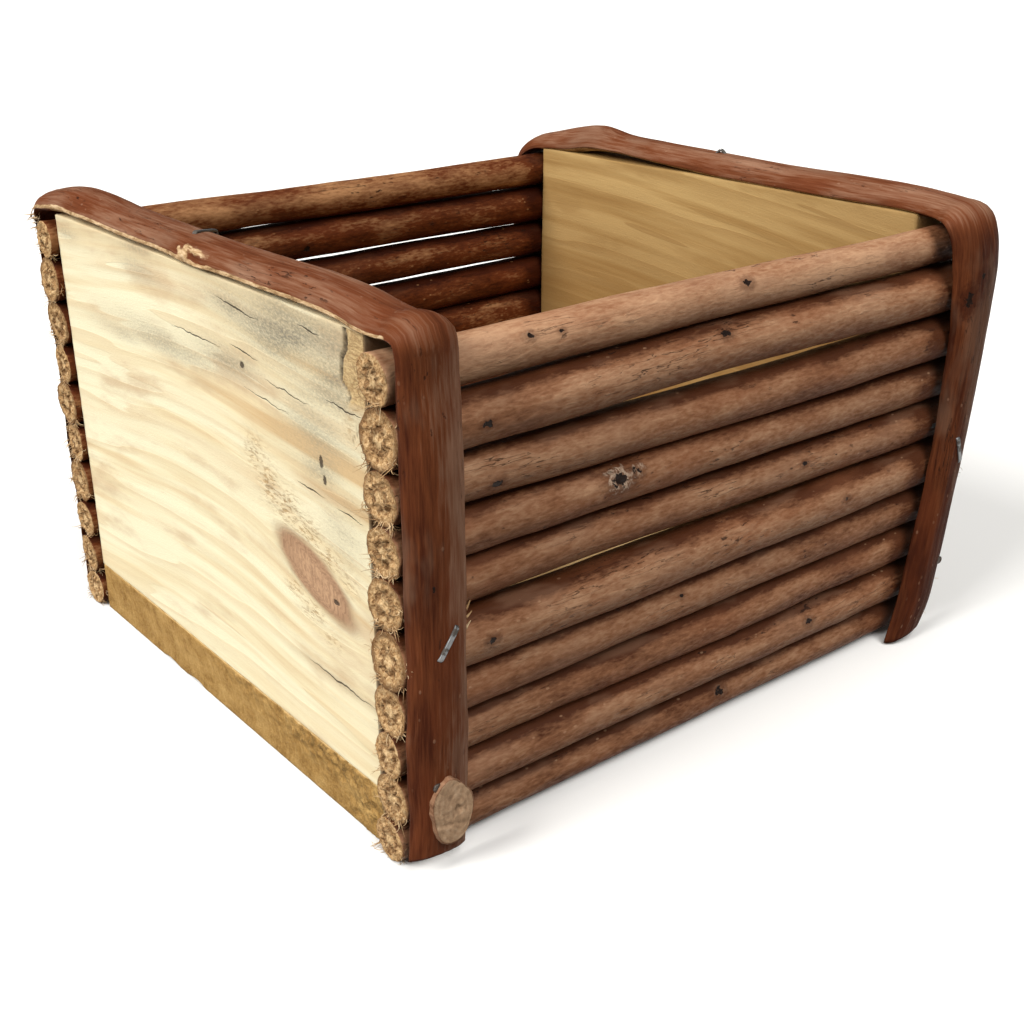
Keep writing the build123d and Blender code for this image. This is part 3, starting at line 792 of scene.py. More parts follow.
def leftBoard(settings):
    # a box carried along y and lifted off its faces by warp, relief, tears and a deep check
    along = np.concatenate([np.arange(-99.6, -84, 0.45), np.arange(-84, 99.8, 1.25)]) * mm
    grid, way, isEnd = boardGrid((-125, -100, 20), (-107, 100, 160), 1, along, 1.4 * mm, 1.0 * mm,
                                 settings["arris"], settings["endInsets"])
    x, y, z = (grid / mm).transpose(2, 0, 1)
    ku, kw = knotFrame(y, z, settings)
    away = np.hypot(ku, kw)
    # the grain's own height: straight lines lifted into an arch and parted round the knot
    part = (settings["push"] * np.sign(kw) * np.exp(-(ku / 1.25) ** 2 - np.abs(kw) / 2.2)
            * (1 - np.exp(-(kw * 3) ** 2)))
    v = z - through(settings["arch"], y) - part
    outer = np.clip(-way[..., 0], 0, 1)
    rough = roughNoise(np.stack([y * 0.55, z * 0.55, x * 0.2], -1), 71, 3)
    torn = blob(y, z, tornPatches) * outer * np.clip((away - 0.92) * 8, 0, 1)
    # a ragged check across the grain near the front end, deepest in its middle
    checkY = -90.6 + 1.5 * roughNoise(np.stack([z * 0.22, z * 0, z * 0], -1), 15, 3)
    depth = np.clip(1 - np.abs(y - checkY) / (0.45 + 0.45 * np.clip((z - 140) / 15, 0, 1)), 0, 1)
    depth = (depth * np.clip((z - 137) / 6, 0, 1)
             + 0.7 * np.clip(1 - np.abs(y - checkY + 3) / 0.4, 0, 1) * np.exp(-((z - 130.5) / 2.4) ** 2))
    depth = depth * outer
    lift = settings["warp"] * roughNoise(np.stack([y * 0.018, z * 0.018, x * 0], -1), 33, 2)
    lift = lift + settings["relief"] * roughNoise(np.stack([y * 0.02, v * 0.32, x * 0.1], -1), 45, 3)
    lift = lift + torn * 0.32 * mm * rough - depth * 1.3 * mm
    lift = lift - 0.35 * mm * outer * np.clip((checkY - y) / 1.2, 0, 1) * np.clip((z - 138) / 4, 0, 1)
    lift = np.where(isEnd[:, None], 0.25 * mm * rough, lift)
    grid = grid + way * lift[..., None]
    marks = dict(
        grain=np.stack([y, v, x + 125], -1) * mm,
        stain=np.clip(blob(y, z, stainPatches) * outer, 0, 1), torn=torn,
        knot=np.clip(1 - away / 2, 0, 1) * outer, crack=np.clip(depth * 1.6, 0, 1),
        gold=outer * np.clip((checkY - y) / 0.8, 0, 1) * np.clip((z - 137.5) / 2.5, 0, 1),
        # painted shade on the board's front end face
        shade=0.85 * np.clip((-99.2 - y) / 0.5, 0, 1),
    )
    board = makePiece("leftBoard", grid, marks, poles=False)
    board.data.materials.append(pinePaint("paleSawnPine", pineTones, boardChecks, boardHoles))
    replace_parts(board, "end_board_left")


def rightBoard(settings):
    # a box carried along y and lifted by warp and relief; its grain is the height less a slow sine of y
    along = np.arange(-99.4, 99.8, 1.6) * mm
    grid, way, isEnd = boardGrid((107, -100, 20), (125, 100, 160), 1, along, 1.5 * mm, 1.3 * mm,
                                 settings["arris"], settings["endInsets"])
    x, y, z = (grid / mm).transpose(2, 0, 1)
    v = z - 4 * np.sin(y / 60 + 0.6) - y * 0.05
    lift = settings["warp"] * roughNoise(np.stack([y * 0.018, z * 0.018, x * 0], -1), 83, 2)
    lift = lift + settings["relief"] * 1.3 * roughNoise(np.stack([y * 0.02, v * 0.32, x * 0.1], -1), 95, 3)
    grid = grid + way * np.where(isEnd[:, None], 0, lift)[..., None]
    none = np.zeros_like(x)
    marks = dict(grain=np.stack([y + 730, v + 210, x], -1) * mm, stain=none, knot=none, torn=none,
                 crack=none, gold=none)
    # painted shade: the inner face is darker low down and towards the front rods
    marks["shade"] = (0.60 * np.clip((150 - z) / 45, 0, 1) + 0.32 * np.clip((-10 - y) / 70, 0, 1)) * (x < 109)
    board = makePiece("rightBoard", grid, marks, poles=False)
    board.data.materials.append(pinePaint("shadedPine", shadedPineTones))
    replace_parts(board, "end_board_right")


baseTones = dict(pale=(0.62, 0.46, 0.24), mid=(0.52, 0.355, 0.165), warm=(0.40, 0.245, 0.095),
                 endDark=(0.22, 0.115, 0.030), endMid=(0.37, 0.215, 0.068), endPale=(0.50, 0.315, 0.115),
                 fleck=(0.13, 0.080, 0.028))
# where the saw tore the left end: y, z, reach along y and z, strength
sawTears = [(-72, 17, 34, 6.5, 1.0), (-95, 9, 16, 11, 0.9), (-20, 18, 20, 4, 0.5)]


def baseBoard(settings):
    # a box carried along x and lifted by slow waves, with rough sawn ends closed by many insets
    along = np.concatenate([np.arange(-124.7, -119, 0.6), np.arange(-118, 118, 2.5),
                            np.arange(119, 124.8, 0.8)]) * mm
    insets = np.arange(0.7, 9.8, 0.7) * mm
    grid, way, isEnd = boardGrid((-125, -100, 0), (125, 100, 20), 0, along, 1.0 * mm, 0.9 * mm,
                                 settings["arris"], insets)
    x, y, z = (grid / mm).transpose(2, 0, 1)
    rough = roughNoise(np.stack([y * 0.5, z * 0.5, x * 0.05], -1), 171, 3)
    # the saw tore the upper front part of the left end
    torn = np.clip(blob(y, z, sawTears), 0, 1) * isEnd[:, None]
    end = rough * (0.16 + 0.75 * torn) * mm
    wave = roughNoise(np.stack([y * 0.05, z * 0.05, x * 0.03], -1), 61, 2) * 0.2 * mm
    # the lower left edge is a little chipped
    chip = np.clip(smoothNoise(np.stack([y * 0.09, x * 0, z * 0], -1), 41), 0, 1)
    chip = chip * np.exp(-z / 1.6) * np.exp(-(x + 125) / 2)
    grid = grid + way * np.where(isEnd[:, None], end, np.where(way[..., 2] < -0.5, 0, wave))[..., None]
    grid[..., 2] = grid[..., 2] + chip * 1.6 * mm
    marks = dict(grain=np.stack([x, y + 2 * np.sin(z / 4), z], -1) * mm, torn=torn,
                 cut=np.broadcast_to(isEnd[:, None].astype(float), x.shape))
    board = makePiece("baseBoard", grid, marks, poles=False)
    board.data.materials.append(endGrainPaint("goldenBasePine", baseTones))
    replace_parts(board, "base_board")


leftBoard(boardSettings)
rightBoard(boardSettings)
baseBoard(boardSettings)
print("boards made")

# metals: each slot's finish


def metalPaint(name, colour, dull, rough, dullShare):
    # scratched metal with dull oxide patches
    paint, tree, shader = newPaint(name)
    place = put(tree, "TexCoord", {}).outputs["Object"]
    scratch = noise(tree, place, (700, 2600, 700), 3)
    patch = noise(tree, place, (330, 330, 330), 4, 0.65)
    share = span(tree, patch, 0.62 - dullShare * 0.3, 0.72 - dullShare * 0.3)
    tint = mix(tree, span(tree, scratch, 0.3, 0.7, 0.0, 0.5), colour, tuple(0.6 * c for c in colour))
    tree.links.new(timesPlus(tree, share, -0.8, 1.0), shader.inputs["Metallic"])
    roughness = timesPlus(tree, share, 0.35, span(tree, scratch, 0.3, 0.7, rough, rough + 0.2))
    finishPaint(tree, shader, mix(tree, share, tint, dull), roughness, bump(tree, scratch, 0.03 * mm))
    return paint


metals = dict(
    staple_steel=metalPaint("bareStapleSteel", (0.20, 0.205, 0.21), (0.07, 0.06, 0.05), 0.34, 0.45),
    dark_steel=metalPaint("darkBradSteel", (0.10, 0.085, 0.075), (0.055, 0.030, 0.020), 0.45, 0.55),
    screw_steel=metalPaint("yellowScrewZinc", (0.78, 0.60, 0.26), (0.30, 0.22, 0.12), 0.26, 0.15),
)
print("metal finishes made")

# split willow strips over the edges of the end boards

stripSettings = dict(
    step=1.2 * mm, columns=64, endRings=6, ridge=0.10 * mm, wave=0.30 * mm, tornEnd=0.7 * mm,
)
# stations along the flat side: y, z, thickness, inner x, outer x; front foot, up, over the top, down the back
leftCourse = [
    (-117.6, 5.4, 4.6, -107.8, -128.2), (-117.8, 14, 5.2, -107.4, -128.0),
    (-118.1, 33, 5.3, -107.2, -127.9), (-118.2, 52, 5.8, -107.2, -127.8),
    (-118.3, 75, 6.0, -107.3, -127.6), (-118.2, 110, 6.0, -107.4, -127.5),
    (-118.1, 138, 5.6, -108.0, -127.6), (-118.2, 152, 5.0, -108.8, -127.8),
    (-118.7, 159.0, 5.0, -109.6, -128.2), (-118.4, 161.8, 5.6, -110.2, -128.6),
    (-115.6, 162.3, 5.6, -110.0, -128.4), (-109, 161.3, 5.3, -108.6, -127.4),
    (-101, 161.0, 5.4, -107.8, -126.8), (-88, 162.0, 5.6, -107.2, -126.6),
    (-70, 162.6, 5.5, -107.0, -126.6), (-45, 162.2, 5.5, -106.8, -126.6),
    (-12, 161.8, 5.7, -106.6, -126.8), (18, 162.2, 5.4, -106.8, -126.6), (38, 162.4, 5.3, -106.8, -126.6),
    (56, 162.7, 5.6, -107.2, -126.6), (78, 162.8, 6.8, -107.4, -126.6), (92, 162.7, 7.0, -107.4, -126.8),
    (106, 161.3, 6.0, -107.6, -127.0), (114, 159.6, 5.4, -107.0, -126.8),
    (117.8, 155.2, 5.2, -105.6, -125.8), (118.4, 146, 5.4, -104.8, -125.2),
    (118.4, 110, 5.8, -104.6, -125.0), (118.2, 60, 5.6, -104.8, -125.2), (118.0, 31, 5.2, -105.0, -125.4),
    (117.8, 3.6, 4.8, -105.4, -125.6),
]
rightCourse = [
    (-117.6, 3.4, 4.8, 96.8, 116.2), (-117.9, 16, 5.2, 100.2, 120.4), (-117.9, 31, 5.4, 103.0, 121.8),
    (-118.0, 50, 5.8, 105.8, 122.6), (-118.0, 75, 6.2, 108.4, 124.8), (-118.3, 102, 6.2, 108.8, 126.2),
    (-118.8, 131, 6.8, 106.2, 126.2), (-119.0, 146, 7.0, 103.4, 125.4), (-118.4, 155, 6.2, 101.0, 124.8),
    (-116.2, 159.6, 6.0, 99.8, 124.8), (-110, 160.6, 5.8, 103.0, 125.0), (-98, 161.0, 6.2, 106.2, 125.6),
    (-70, 161.0, 6.8, 106.6, 126.2), (-28, 161.0, 6.8, 106.4, 126.4), (2, 161.6, 6.8, 106.2, 126.2),
    (36, 163.2, 5.8, 106.0, 126.2), (58, 164.0, 6.0, 106.2, 126.4), (70, 163.7, 8.2, 106.6, 126.6),
    (84, 161.6, 8.4, 106.4, 126.6), (98, 160.4, 6.6, 106.4, 126.4), (108, 158.6, 5.8, 106.2, 126.2),
    (115.5, 154.0, 5.6, 106.2, 126.2), (118.2, 146, 5.8, 106.4, 126.4), (118.5, 110, 6.0, 107.0, 127.0),
    (118.3, 60, 5.6, 107.0, 127.2), (118.0, 30, 5.0, 106.6, 126.8), (117.8, 3.4, 4.8, 106.0, 126.2),
]
# each strip: how much of its pale edge shows, the slope and bulge of its front foot and then its back one,
# how much darker its legs are and how much lighter they get inwards, and the seed of its bark
stripKinds = dict(
    left=dict(course=leftCourse, pale=1.0, foot=(0.5, 2.2, 1.0, 1.0), legDrop=-0.03, lean=0.17, seed=5),
    right=dict(course=rightCourse, pale=0.3, foot=(2.6, 0.5, -1.0, 1.0), legDrop=0.24, lean=0.08, seed=19),
)


def stripSurface(kind, settings):
    # the course is followed by its length, and at each station a D profile stands on the flat side; its bark
    # is a flattened half round: thickness times (1 - |across|^2.4)^0.62
    seed, foot = kind["seed"], kind["foot"]
    table = np.array(kind["course"], float) * mm
    length = np.concatenate([[0], np.cumsum(np.hypot(*np.diff(table[:, :2], axis=0).T))])
    s = np.linspace(0, length[-1], int(length[-1] / settings["step"]))
    y, z, thick, inner, outer = (through(np.stack([length, table[:, k]], -1), s) for k in range(5))
    tangent = np.stack([np.gradient(y, s), np.gradient(z, s)], -1)
    tangent = tangent / np.linalg.norm(tangent, axis=-1, keepdims=True)
    way = np.stack([-tangent[:, 1], tangent[:, 0]], -1)
    ends = settings["endRings"]
    rings = np.linspace(0.15, 0.96, ends)
    pick = np.concatenate([np.zeros(ends, int), np.arange(len(s)), np.full(ends, len(s) - 1)])
    shrink = np.concatenate([rings, np.ones(len(s)), rings[::-1]])[:, None]
    isEnd = (shrink < 1).astype(float)
    angle = (np.arange(settings["columns"]) * 2 * np.pi / settings["columns"])[None, :]
    across, up = np.cos(angle), np.sin(angle)
    flat = np.clip(-up, 0, 1)
    # the flat side sags a little onto the board along the top
    sag = 0.04 + 0.22 * np.clip((z[pick][:, None] - 158 * mm) / (3 * mm), 0, 1)
    rise = np.where(up > 0, np.abs(1 - np.abs(across) ** 2.4) ** 0.62, -sag * (1 - across ** 4))
    half, middle = (outer - inner)[pick][:, None] / 2, (outer + inner)[pick][:, None] / 2
    t = thick[pick][:, None]
    place = np.stack(np.broadcast_arrays(s[pick][:, None], across * np.abs(half), rise * t), -1)
    # bark: long ridges and slow waves
    lift = settings["ridge"] * roughNoise(place * (30, 700, 700) + seed, seed, 3)
    lift = lift + settings["wave"] * roughNoise(place * (26, 90, 90) + seed, seed + 4, 2)
    rise = rise * t + lift * np.clip(up * 3 + 0.3, 0, 1)
    wander = roughNoise(np.stack([s[pick] * 60, s[pick] * 0, s[pick] * 0], -1) + seed, seed + 8, 3)
    edge = settings["wave"] * 1.5 * wander[:, None]
    x = middle + (half + np.sign(half) * edge * np.abs(across)) * across * shrink
    rise = np.where(shrink < 1, t * 0.45 + (rise - t * 0.45) * shrink, rise)
    # each foot is cut slanting and torn: a slope across it and a bulge on the bark side, front then back
    fromFoot = np.minimum(s[pick], length[-1] - s[pick])[:, None]
    front = (s[pick] < length[-1] / 2)[:, None]
    slope, bulge = (np.where(front, foot[k], foot[k + 2]) for k in (0, 1))
    slant = (slope * across + bulge * np.clip(rise / t, 0, 1)) * mm * np.exp(-fromFoot / (6 * mm))
    torn = roughNoise(np.stack([x, rise, 0 * x + seed * mm], -1) * 900, seed + 12, 2)
    torn = torn * settings["tornEnd"] * isEnd
    y3 = y[pick][:, None] + way[pick, 0][:, None] * rise
    z3 = z[pick][:, None] + way[pick, 1][:, None] * rise + slant + np.abs(torn) * 0.5
    # pale split wood: the whole flat side, and a thin line of its edge where the strip's settings ask for it
    showing = np.where(across > 0, kind["pale"], 0.0)
    onTop = (np.clip((z[pick][:, None] - 157 * mm) / (4 * mm), 0, 1)
             * np.clip((117 * mm - np.abs(y3)) / (6 * mm), 0, 1))
    showing = showing * (0.16 + 0.84 * onTop) * (up > -0.05)
    # painted shade: on the legs the flat side, in the gap behind the strip, shows little of its pale split
    # wood and stays dark bark
    split = np.clip(flat * 4 - 0.3, 0, 1) * (0.20 + 0.80 * np.clip((101 * mm - np.abs(y3)) / (3 * mm), 0, 1))
    split = split + showing * np.clip((np.abs(across) - 0.963) / 0.02, 0, 1)
    marks = dict(grain=place + [seed * 0.37, 0, 0], split=np.clip(split, 0, 1),
                 isEnd=np.broadcast_to(isEnd, x.shape))
    return np.stack([x, y3, z3], -1), marks, across, up


def toScar(grid, across, up, marks):
    # a torn scar on the outer lower edge of the left top run: the bark is ripped back and its lip curls out
    y, z = (grid / mm).transpose(2, 0, 1)[1:]
    onTop = np.clip((z - 155) / 3, 0, 1)
    near = np.exp(-((y + 10) / 11) ** 4) * onTop * np.clip((across - 0.55) * 3.2, 0, 1)
    rough = roughNoise(grid * (300, 240, 300), 301, 3)
    lip = (np.exp(-((y + 11 + 3 * (across - 0.8)) / 7) ** 2) * onTop
           * np.exp(-((across - 0.86) / 0.13) ** 2) * (up > -0.2))
    grid[..., 0] -= (near * (0.3 + 0.6 * rough) + lip * (0.9 + 0.8 * rough)) * mm
    grid[..., 2] += (near * 0.5 * rough + lip * (0.8 + 0.7 * rough)) * mm
    marks["split"] = np.clip(marks["split"] + near * (0.75 + 0.8 * rough), 0, 1)


stripStaple = dict(
    reach=5.3 * mm, leg=9 * mm, wide=0.8 * mm, thick=0.45 * mm, bend=1.0 * mm, proud=0.2 * mm,
)
stripBrad = dict(
    # radius and height in mm, from the point up to the head
    profile=[(0.15, -20), (0.7, -18.5), (0.7, -0.6), (1.5, -0.45), (1.55, 0.15), (1.2, 0.42)],
    side=(1.0, 0.0, 0.0),
)
# each run of a strip: the axis that points out of it and which way, how far out its fasteners and its bark
# lie, and the height that its fasteners keep under
stripRuns = dict(
    front=(1, -1, 108 * mm, 112 * mm, 150 * mm),
    back=(1, 1, 108 * mm, 112 * mm, 150 * mm),
    top=(2, 1, 163 * mm, 158 * mm, 1000 * mm),
)
fastenerShift = dict(right_front=-2.0 * mm)        # how far one is moved along x


def stapleGrid(middle, crown, out, settings):
    # a rounded rectangle carried up one leg, round a bend, along the crown and down the other leg
    reach, leg, bend = settings["reach"], settings["leg"], settings["bend"]
    turn = np.linspace(0, np.pi / 2, 5)
    left = np.stack([-reach + bend - bend * np.cos(turn), -bend + bend * np.sin(turn)], -1)
    right = left[::-1] * [-1, 1]
    path = np.concatenate([[[-reach, -leg], [-reach, -leg / 2]], left, [[0, 0]], right,
                           [[reach, -leg / 2], [reach, -leg]]])
    along = np.gradient(path, axis=0)
    along = along / np.linalg.norm(along, axis=-1, keepdims=True)
    side = np.cross(out, crown)
    facing = -along[:, 1:2] * crown + along[:, :1] * out
    angle = np.arange(12) * np.pi / 6
    across = np.sign(np.cos(angle)) * np.abs(np.cos(angle)) ** 0.35 * settings["wide"]
    rise = np.sign(np.sin(angle)) * np.abs(np.sin(angle)) ** 0.35 * settings["thick"]
    centre = middle + path[:, :1] * crown + path[:, 1:] * out
    return centre[:, None] + across[None, :, None] * side + rise[None, :, None] * facing[:, None]


def bradGrid(middle, out, settings):
    # a profile of (radius, height) turned about the nail's own line
    radius, height = np.array(settings["profile"]).T * mm
    side = np.array(settings["side"])
    angle = np.arange(20) * np.pi / 10
    other = np.cross(out, side)
    ring = np.cos(angle)[None, :, None] * side + np.sin(angle)[None, :, None] * other
    return middle + radius[:, None, None] * ring + height[:, None, None] * out


def setFasteners(grid, name):
    # each fastener is set again where the bark really is: its middle is kept within the strip's width, and
    # its height is that of the bark under it
    for kind in ("staples", "brads"):
        points = nodePoints(f"strip_{kind}_{name}")
        for label, (axis, sign, steelOut, barkOut, under) in stripRuns.items():
            near = points[(sign * points[:, axis] > steelOut) & (points[:, 2] < under)]
            if not len(near):
                continue
            middle = (near.min(0) + near.max(0)) / 2
            length = 3 - axis
            beside = np.abs(grid[..., length] - middle[length]) < 3 * mm
            band = grid[beside & (sign * grid[..., axis] > barkOut)]
            low, high = band[:, 0].min(), band[:, 0].max()
            margin = 0.24 * (high - low)
            middle[0] += fastenerShift.get(f"{name}_{label}", 0)
            middle[0] = np.clip(middle[0], low + margin, high - margin)
            out = np.zeros(3)
            out[axis] = sign
            spread = near - near.mean(0)
            spread[:, axis] = 0
            crown = np.linalg.svd(spread, full_matrices=False)[2][0]
            reach = stripStaple["reach"] * 0.85 if kind == "staples" else 0.8 * mm
            heights = []
            for place in (middle - reach * crown, middle, middle + reach * crown):
                away = np.linalg.norm((band - place)[:, [0, length]], axis=1)
                heights.append((sign * band[away < max(1.4 * mm, away.min() + 0.2 * mm), axis]).max())
            # it leans with the bark, and its middle is pressed in a little
            crown = crown + out * (heights[2] - heights[0]) / (2 * reach)
            crown = crown / np.linalg.norm(crown)
            middle[axis] = sign * (2 * heights[1] + heights[0] + heights[2]) / 4
            out = out - (out @ crown) * crown
            out = out / np.linalg.norm(out)
            if kind == "staples":
                middle = middle + out * stripStaple["proud"]
                shape, slot = stapleGrid(middle, crown, out, stripStaple), "staple_steel"
            else:
                shape, slot = bradGrid(middle, out, stripBrad), "dark_steel"
            piece = makePiece(f"strip_{kind}_{name}_{label}", shape, {})
            piece.data.materials.append(metals[slot])
            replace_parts(piece, f"strip_{kind}_{name}")


def makeStrips(settings):
    # each strip's surface, with its fasteners set on it, and the stub on the left one
    paint = barkPaint("splitWillowBark", stripBark, stripKnots)
    for name, kind in stripKinds.items():
        grid, marks, across, up = stripSurface(kind, settings)
        if name == "left":
            toScar(grid, across, up, marks)
        setFasteners(grid, name)
        cut = np.maximum(marks.pop("split"), marks.pop("isEnd"))
        # painted light: lighter along the top run, which faces the light, and painted shade on the
        # undersides; each leg has its strip's own lightness and gets lighter towards its inner side
        top = np.clip((grid[..., 2] - 156 * mm) / (8 * mm), 0, 1)
        inwards = np.clip(1.3 * across, -1, 1)
        tone = (0.06 * top - (kind["legDrop"] + kind["lean"] * inwards) * (1 - top)
                - 0.10 * np.clip(-up, 0, 1))
        marks.update(cut=cut, tone=tone)
        strip = makePiece(f"willowStrip_{name}", grid, marks)
        strip.data.materials.append(paint)
        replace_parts(strip, f"edge_strip_{name}")
        if name == "left":
            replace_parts(makeStub(stubSettings), "edge_strip_left")


def stripKnot(x, y, z, size, stretchZ=1.5, halo=0.5, ring=0.0):
    # the scale and shift that carry a knot, longer along z, onto a ball of radius 1
    scale = np.array([1, 1, 1 / stretchZ]) / (size * mm)
    return dict(scale=tuple(scale), shift=tuple(-np.array([x, y, z]) * mm * scale), halo=halo, ring=ring)


stripKnots = [stripKnot(108.5, -124, 134, 1.6, 2.0, 0.8), stripKnot(112, -125, 143, 1.1, 1.6, 0.7),
              stripKnot(-121.5, -123.6, 96, 0.5, 2.6, 0.5), stripKnot(-111, -123.5, 40, 0.5, 1.5, 0.5)]

stubBark = dict(
    stripBark, mid=(0.20, 0.10, 0.055), light=(0.34, 0.20, 0.12), rings=4600.0,
    woodDark=(0.20, 0.125, 0.078), wood=(0.39, 0.25, 0.150), woodPale=(0.50, 0.35, 0.23),
)
stubSettings = dict(
    centre=(-117.6, 23.6), half=(6.1, 11.2), pith=(2.0, 0.5),       # x, z and half sizes of the sawn face
    base=-119.0, face=-125.4, slope=-0.24, flare=1.03, columns=64, sideRings=14, faceRings=16,
)


def makeStub(settings):
    # an oval ring of half sizes (x, z) stands out of the strip along -y, a little wider at its root; the
    # sawn face leans out towards the inner side and closes in rings on the pith, which is off the middle
    half, pith = np.array(settings["half"]), np.array(settings["pith"])
    sides, rings = settings["sideRings"], settings["faceRings"]
    angle = (np.arange(settings["columns"]) * 2 * np.pi / settings["columns"])[None, :]
    share = np.concatenate([np.linspace(0, 1, sides), np.ones(rings)])[:, None]
    shrink = np.concatenate([np.ones(sides), np.linspace(0.97, 0.05, rings)])[:, None]
    isEnd = np.concatenate([np.zeros(sides), np.ones(rings)])[:, None]
    wide = ((1 + (settings["flare"] - 1) * (1 - share) ** 1.6)
            * (1 + 0.035 * np.sin(3 * angle + 1) + 0.02 * np.sin(5 * angle)))
    dx = half[0] * wide * np.cos(angle) * shrink + pith[0] * (1 - shrink) * isEnd
    dz = half[1] * wide * np.sin(angle) * shrink + pith[1] * (1 - shrink) * isEnd
    face = settings["face"] + settings["slope"] * dx
    rough = roughNoise(np.stack([dx, dz, 0 * dx], -1) * 0.7, 211, 3)
    y = settings["base"] + (face - settings["base"]) * share
    ridge = roughNoise(np.stack([dx * 0.5, dz * 0.5, y * 0.12], -1), 223, 3) * 0.35 * (1 - isEnd)
    # a saw mark across the face, and the pith sunk in
    y = y + isEnd * (0.10 * rough + 0.25 * (np.abs(dz + 4.4 + 0.08 * dx) < 0.4)
                     + 0.8 * np.exp(-((dx - pith[0]) / 0.8) ** 2 - ((dz - pith[1]) / 1.1) ** 2))
    x = settings["centre"][0] + dx * (1 + ridge / 8)
    z = settings["centre"][1] + dz * (1 + ridge / 8)
    grid = np.stack([x, y, z], -1) * mm
    radius = np.hypot(dx - pith[0], (dz - pith[1]) * half[0] / half[1])
    turn = np.arctan2(dz - pith[1], dx - pith[0])
    marks = dict(grain=np.stack([y + 900, radius * np.cos(turn), radius * np.sin(turn)], -1) * mm,
                 cut=isEnd * np.clip((1 - shrink) * 12, 0, 1) * np.ones_like(x), tone=np.full(x.shape, 0.08))
    stub = makePiece("branchStub", grid, marks)
    stub.data.materials.append(barkPaint("sawnStub", stubBark,
                                         [stripKnot(-115.6, -125.1, 24.1, 0.75, 1.4, 0.0)]))
    return stub


makeStrips(stripSettings)
print("strips and stub made")

# torn bast fibres on the sawn rod ends

fibreSettings = dict(
    clumps=8, perClump=8, points=8, radius=0.19 * mm, length=(2.2 * mm, 7.5 * mm), curl=1.9,
)


def makeFibrePaint():
    # each strand's own shade, mottled a little
    paint, tree, shader = newPaint("bastFibre")
    shade = mark(tree, "shade", "Fac")
    place = put(tree, "TexCoord", {}).outputs["Object"]
    value = timesPlus(tree, noise(tree, place, (400, 400, 400), 2), 0.5, times(tree, shade, 0.6))
    colour = ramp(tree, value,
                  [(0.2, (0.26, 0.13, 0.050)), (0.5, (0.52, 0.33, 0.155)), (0.85, (0.74, 0.56, 0.34))])
    finishPaint(tree, shader, colour, span(tree, shade, 0, 1, 0.5, 0.75), bump(tree, value, 0.05 * mm))
    return paint


fibrePaint = makeFibrePaint()


def makeStrands(name, start, heading, reach, amount, thick, draw, points):
    # each strand's heading turns steadily about its own axis, and three points round each step make a thin
    # closed tube that narrows to its tip
    count = len(start)
    heading = heading / np.linalg.norm(heading, axis=-1, keepdims=True)
    turnAxis = draw.normal(0, 1, (count, 3))
    turnAxis = turnAxis / np.linalg.norm(turnAxis, axis=-1, keepdims=True)
    steps = np.linspace(0, 1, points)
    path, here, before = [], start.copy(), 0.0
    for step in steps:
        angle = amount * step
        now = heading * np.cos(angle) + np.cross(turnAxis, heading) * np.sin(angle)
        here = here + now * reach * (step - before)
        before = step
        path.append(here)
    path = np.stack(path, 1)
    along = np.gradient(path, axis=1)
    along = along / np.linalg.norm(along, axis=-1, keepdims=True)
    sideA = np.cross(along, turnAxis[:, None, :] + [0.01, 0.02, 0.03])
    sideA = sideA / np.linalg.norm(sideA, axis=-1, keepdims=True)
    sideB = np.cross(along, sideA)
    turn = np.arange(3) * 2 * np.pi / 3
    wide = thick * (1 - 0.75 * steps)[None, :, None, None] * draw.uniform(0.5, 1.3, (count, 1, 1, 1))
    ring = (np.cos(turn)[None, None, :, None] * sideA[:, :, None]
            + np.sin(turn)[None, None, :, None] * sideB[:, :, None])
    corners = (path[:, :, None] + ring * wide).reshape(-1, 3)
    perStrand = points * 3
    j, k = np.meshgrid(np.arange(points - 1), np.arange(3), indexing="ij")
    quads = np.stack([j * 3 + k, j * 3 + (k + 1) % 3, (j + 1) * 3 + (k + 1) % 3, (j + 1) * 3 + k],
                     -1).reshape(-1, 4)
    base = (np.arange(count) * perStrand)[:, None, None]
    faces = (base + quads).reshape(-1, 4).tolist()
    faces += (base[:, 0] + np.array([2, 1, 0])).tolist()
    faces += (base[:, 0] + np.array([0, 1, 2]) + perStrand - 3).tolist()
    shade = np.repeat(draw.uniform(0, 1, count), perStrand)
    strands = meshPiece(name, corners, faces, dict(shade=shade), "root")
    strands.data.materials.append(fibrePaint)


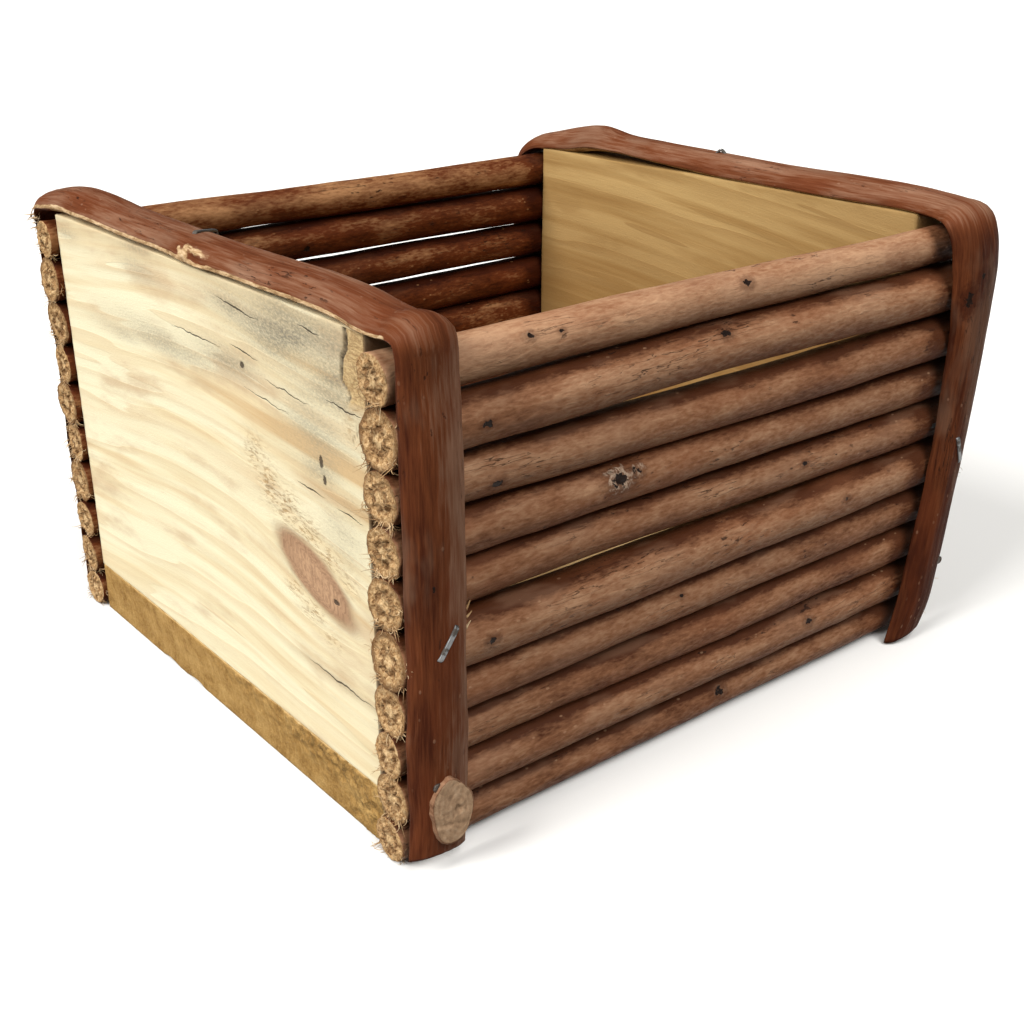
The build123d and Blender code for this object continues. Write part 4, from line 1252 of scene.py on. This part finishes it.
def makeFibres(name, wall, end, settings, seed):
    # tufts hang from the lower half of each sawn rim: the strands of a tuft start together and part slowly
    draw = np.random.default_rng(seed)
    many = settings["clumps"] * settings["perClump"]
    starts, headings = [], []
    outX = np.array([-1.0 if end == 0 else 1.0, 0, 0])
    for number in range(1, rodCount + 1):
        centre, radius = rodEnds(f"{wall}_rod_{number:02d}")[end]
        middle = draw.normal(-1.45, 0.85, settings["clumps"])
        angle = np.repeat(middle, settings["perClump"]) + draw.normal(0, 0.10, many)
        rim = np.stack([0 * angle, np.cos(angle) * wallOut[wall], np.sin(angle)], -1)
        starts.append(centre + rim * radius * draw.uniform(0.80, 0.98, (many, 1)) - outX * 0.6 * mm)
        lean = np.repeat(draw.normal(0, 0.45, (settings["clumps"], 3)), settings["perClump"], 0)
        headings.append(rim * 0.55 + outX * 0.35 + lean + draw.normal(0, 0.22, (many, 3)))
    start, heading = np.concatenate(starts), np.concatenate(headings)
    count = len(start)
    reach = draw.uniform(*settings["length"], (count, 1)) * draw.uniform(0.35, 1, (count, 1))
    amount = draw.normal(0, settings["curl"], (count, 1))
    makeStrands(name, start, heading, reach, amount, settings["radius"], draw, settings["points"])


splinterSettings = dict(
    # pale splinters at the left strip's inner edge: root, heading and length of each
    roots=[(-107.8, -119.6, 83.5), (-107.6, -119.6, 81.0), (-107.7, -119.4, 77.5)],        # mm
    headings=[(0.35, -0.2, 0.9), (0.55, -0.3, 0.7), (0.4, -0.2, 0.9)],
    lengths=[[3.2], [2.4], [2.8]],        # mm
    turn=0.3, radius=0.5 * mm, points=6,
)
frayedSettings = dict(
    # the frayed tip at its back top corner
    middle=(-125.5, 116.5, 157.5), spread=(0.7 * mm, 1.6 * mm, 2.2 * mm), heading=(-0.35, 0.5, -0.5),
    count=26, length=(2, 5), curl=0.9, radius=0.25 * mm, points=7,
)


def makeSplinters(splinter, frayed):
    # each splinter has its own place, and the strands of the tip start and head about one place and way
    draw = np.random.default_rng(77)
    start, heading = np.array(splinter["roots"]) * mm, np.array(splinter["headings"])
    reach = np.array(splinter["lengths"]) * mm
    turn = np.full((len(start), 1), splinter["turn"])
    makeStrands("paleSplinters", start, heading, reach, turn, splinter["radius"], draw, splinter["points"])
    count = frayed["count"]
    start = np.array(frayed["middle"]) * mm + draw.normal(0, 1, (count, 3)) * frayed["spread"]
    heading = np.array(frayed["heading"]) + draw.normal(0, 0.35, (count, 3))
    reach = draw.uniform(*frayed["length"], (count, 1)) * mm
    turn = draw.normal(0, frayed["curl"], (count, 1))
    makeStrands("frayedTip", start, heading, reach, turn, frayed["radius"], draw, frayed["points"])


for seed, (wall, end) in enumerate((("front", 0), ("front", 1), ("back", 0), ("back", 1))):
    makeFibres(f"rodFibres_{wall}_{'left' if end == 0 else 'right'}", wall, end, fibreSettings, 40 + seed)
makeSplinters(splinterSettings, frayedSettings)
print("fibres made")

# the other metal fasteners keep their own shapes
for name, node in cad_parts.items():
    kind = node.data.materials[0].name.split(".")[0] if node.data.materials else ""
    if kind in metals:
        node.data.materials.clear()
        node.data.materials.append(metals[kind])
print("fasteners painted")
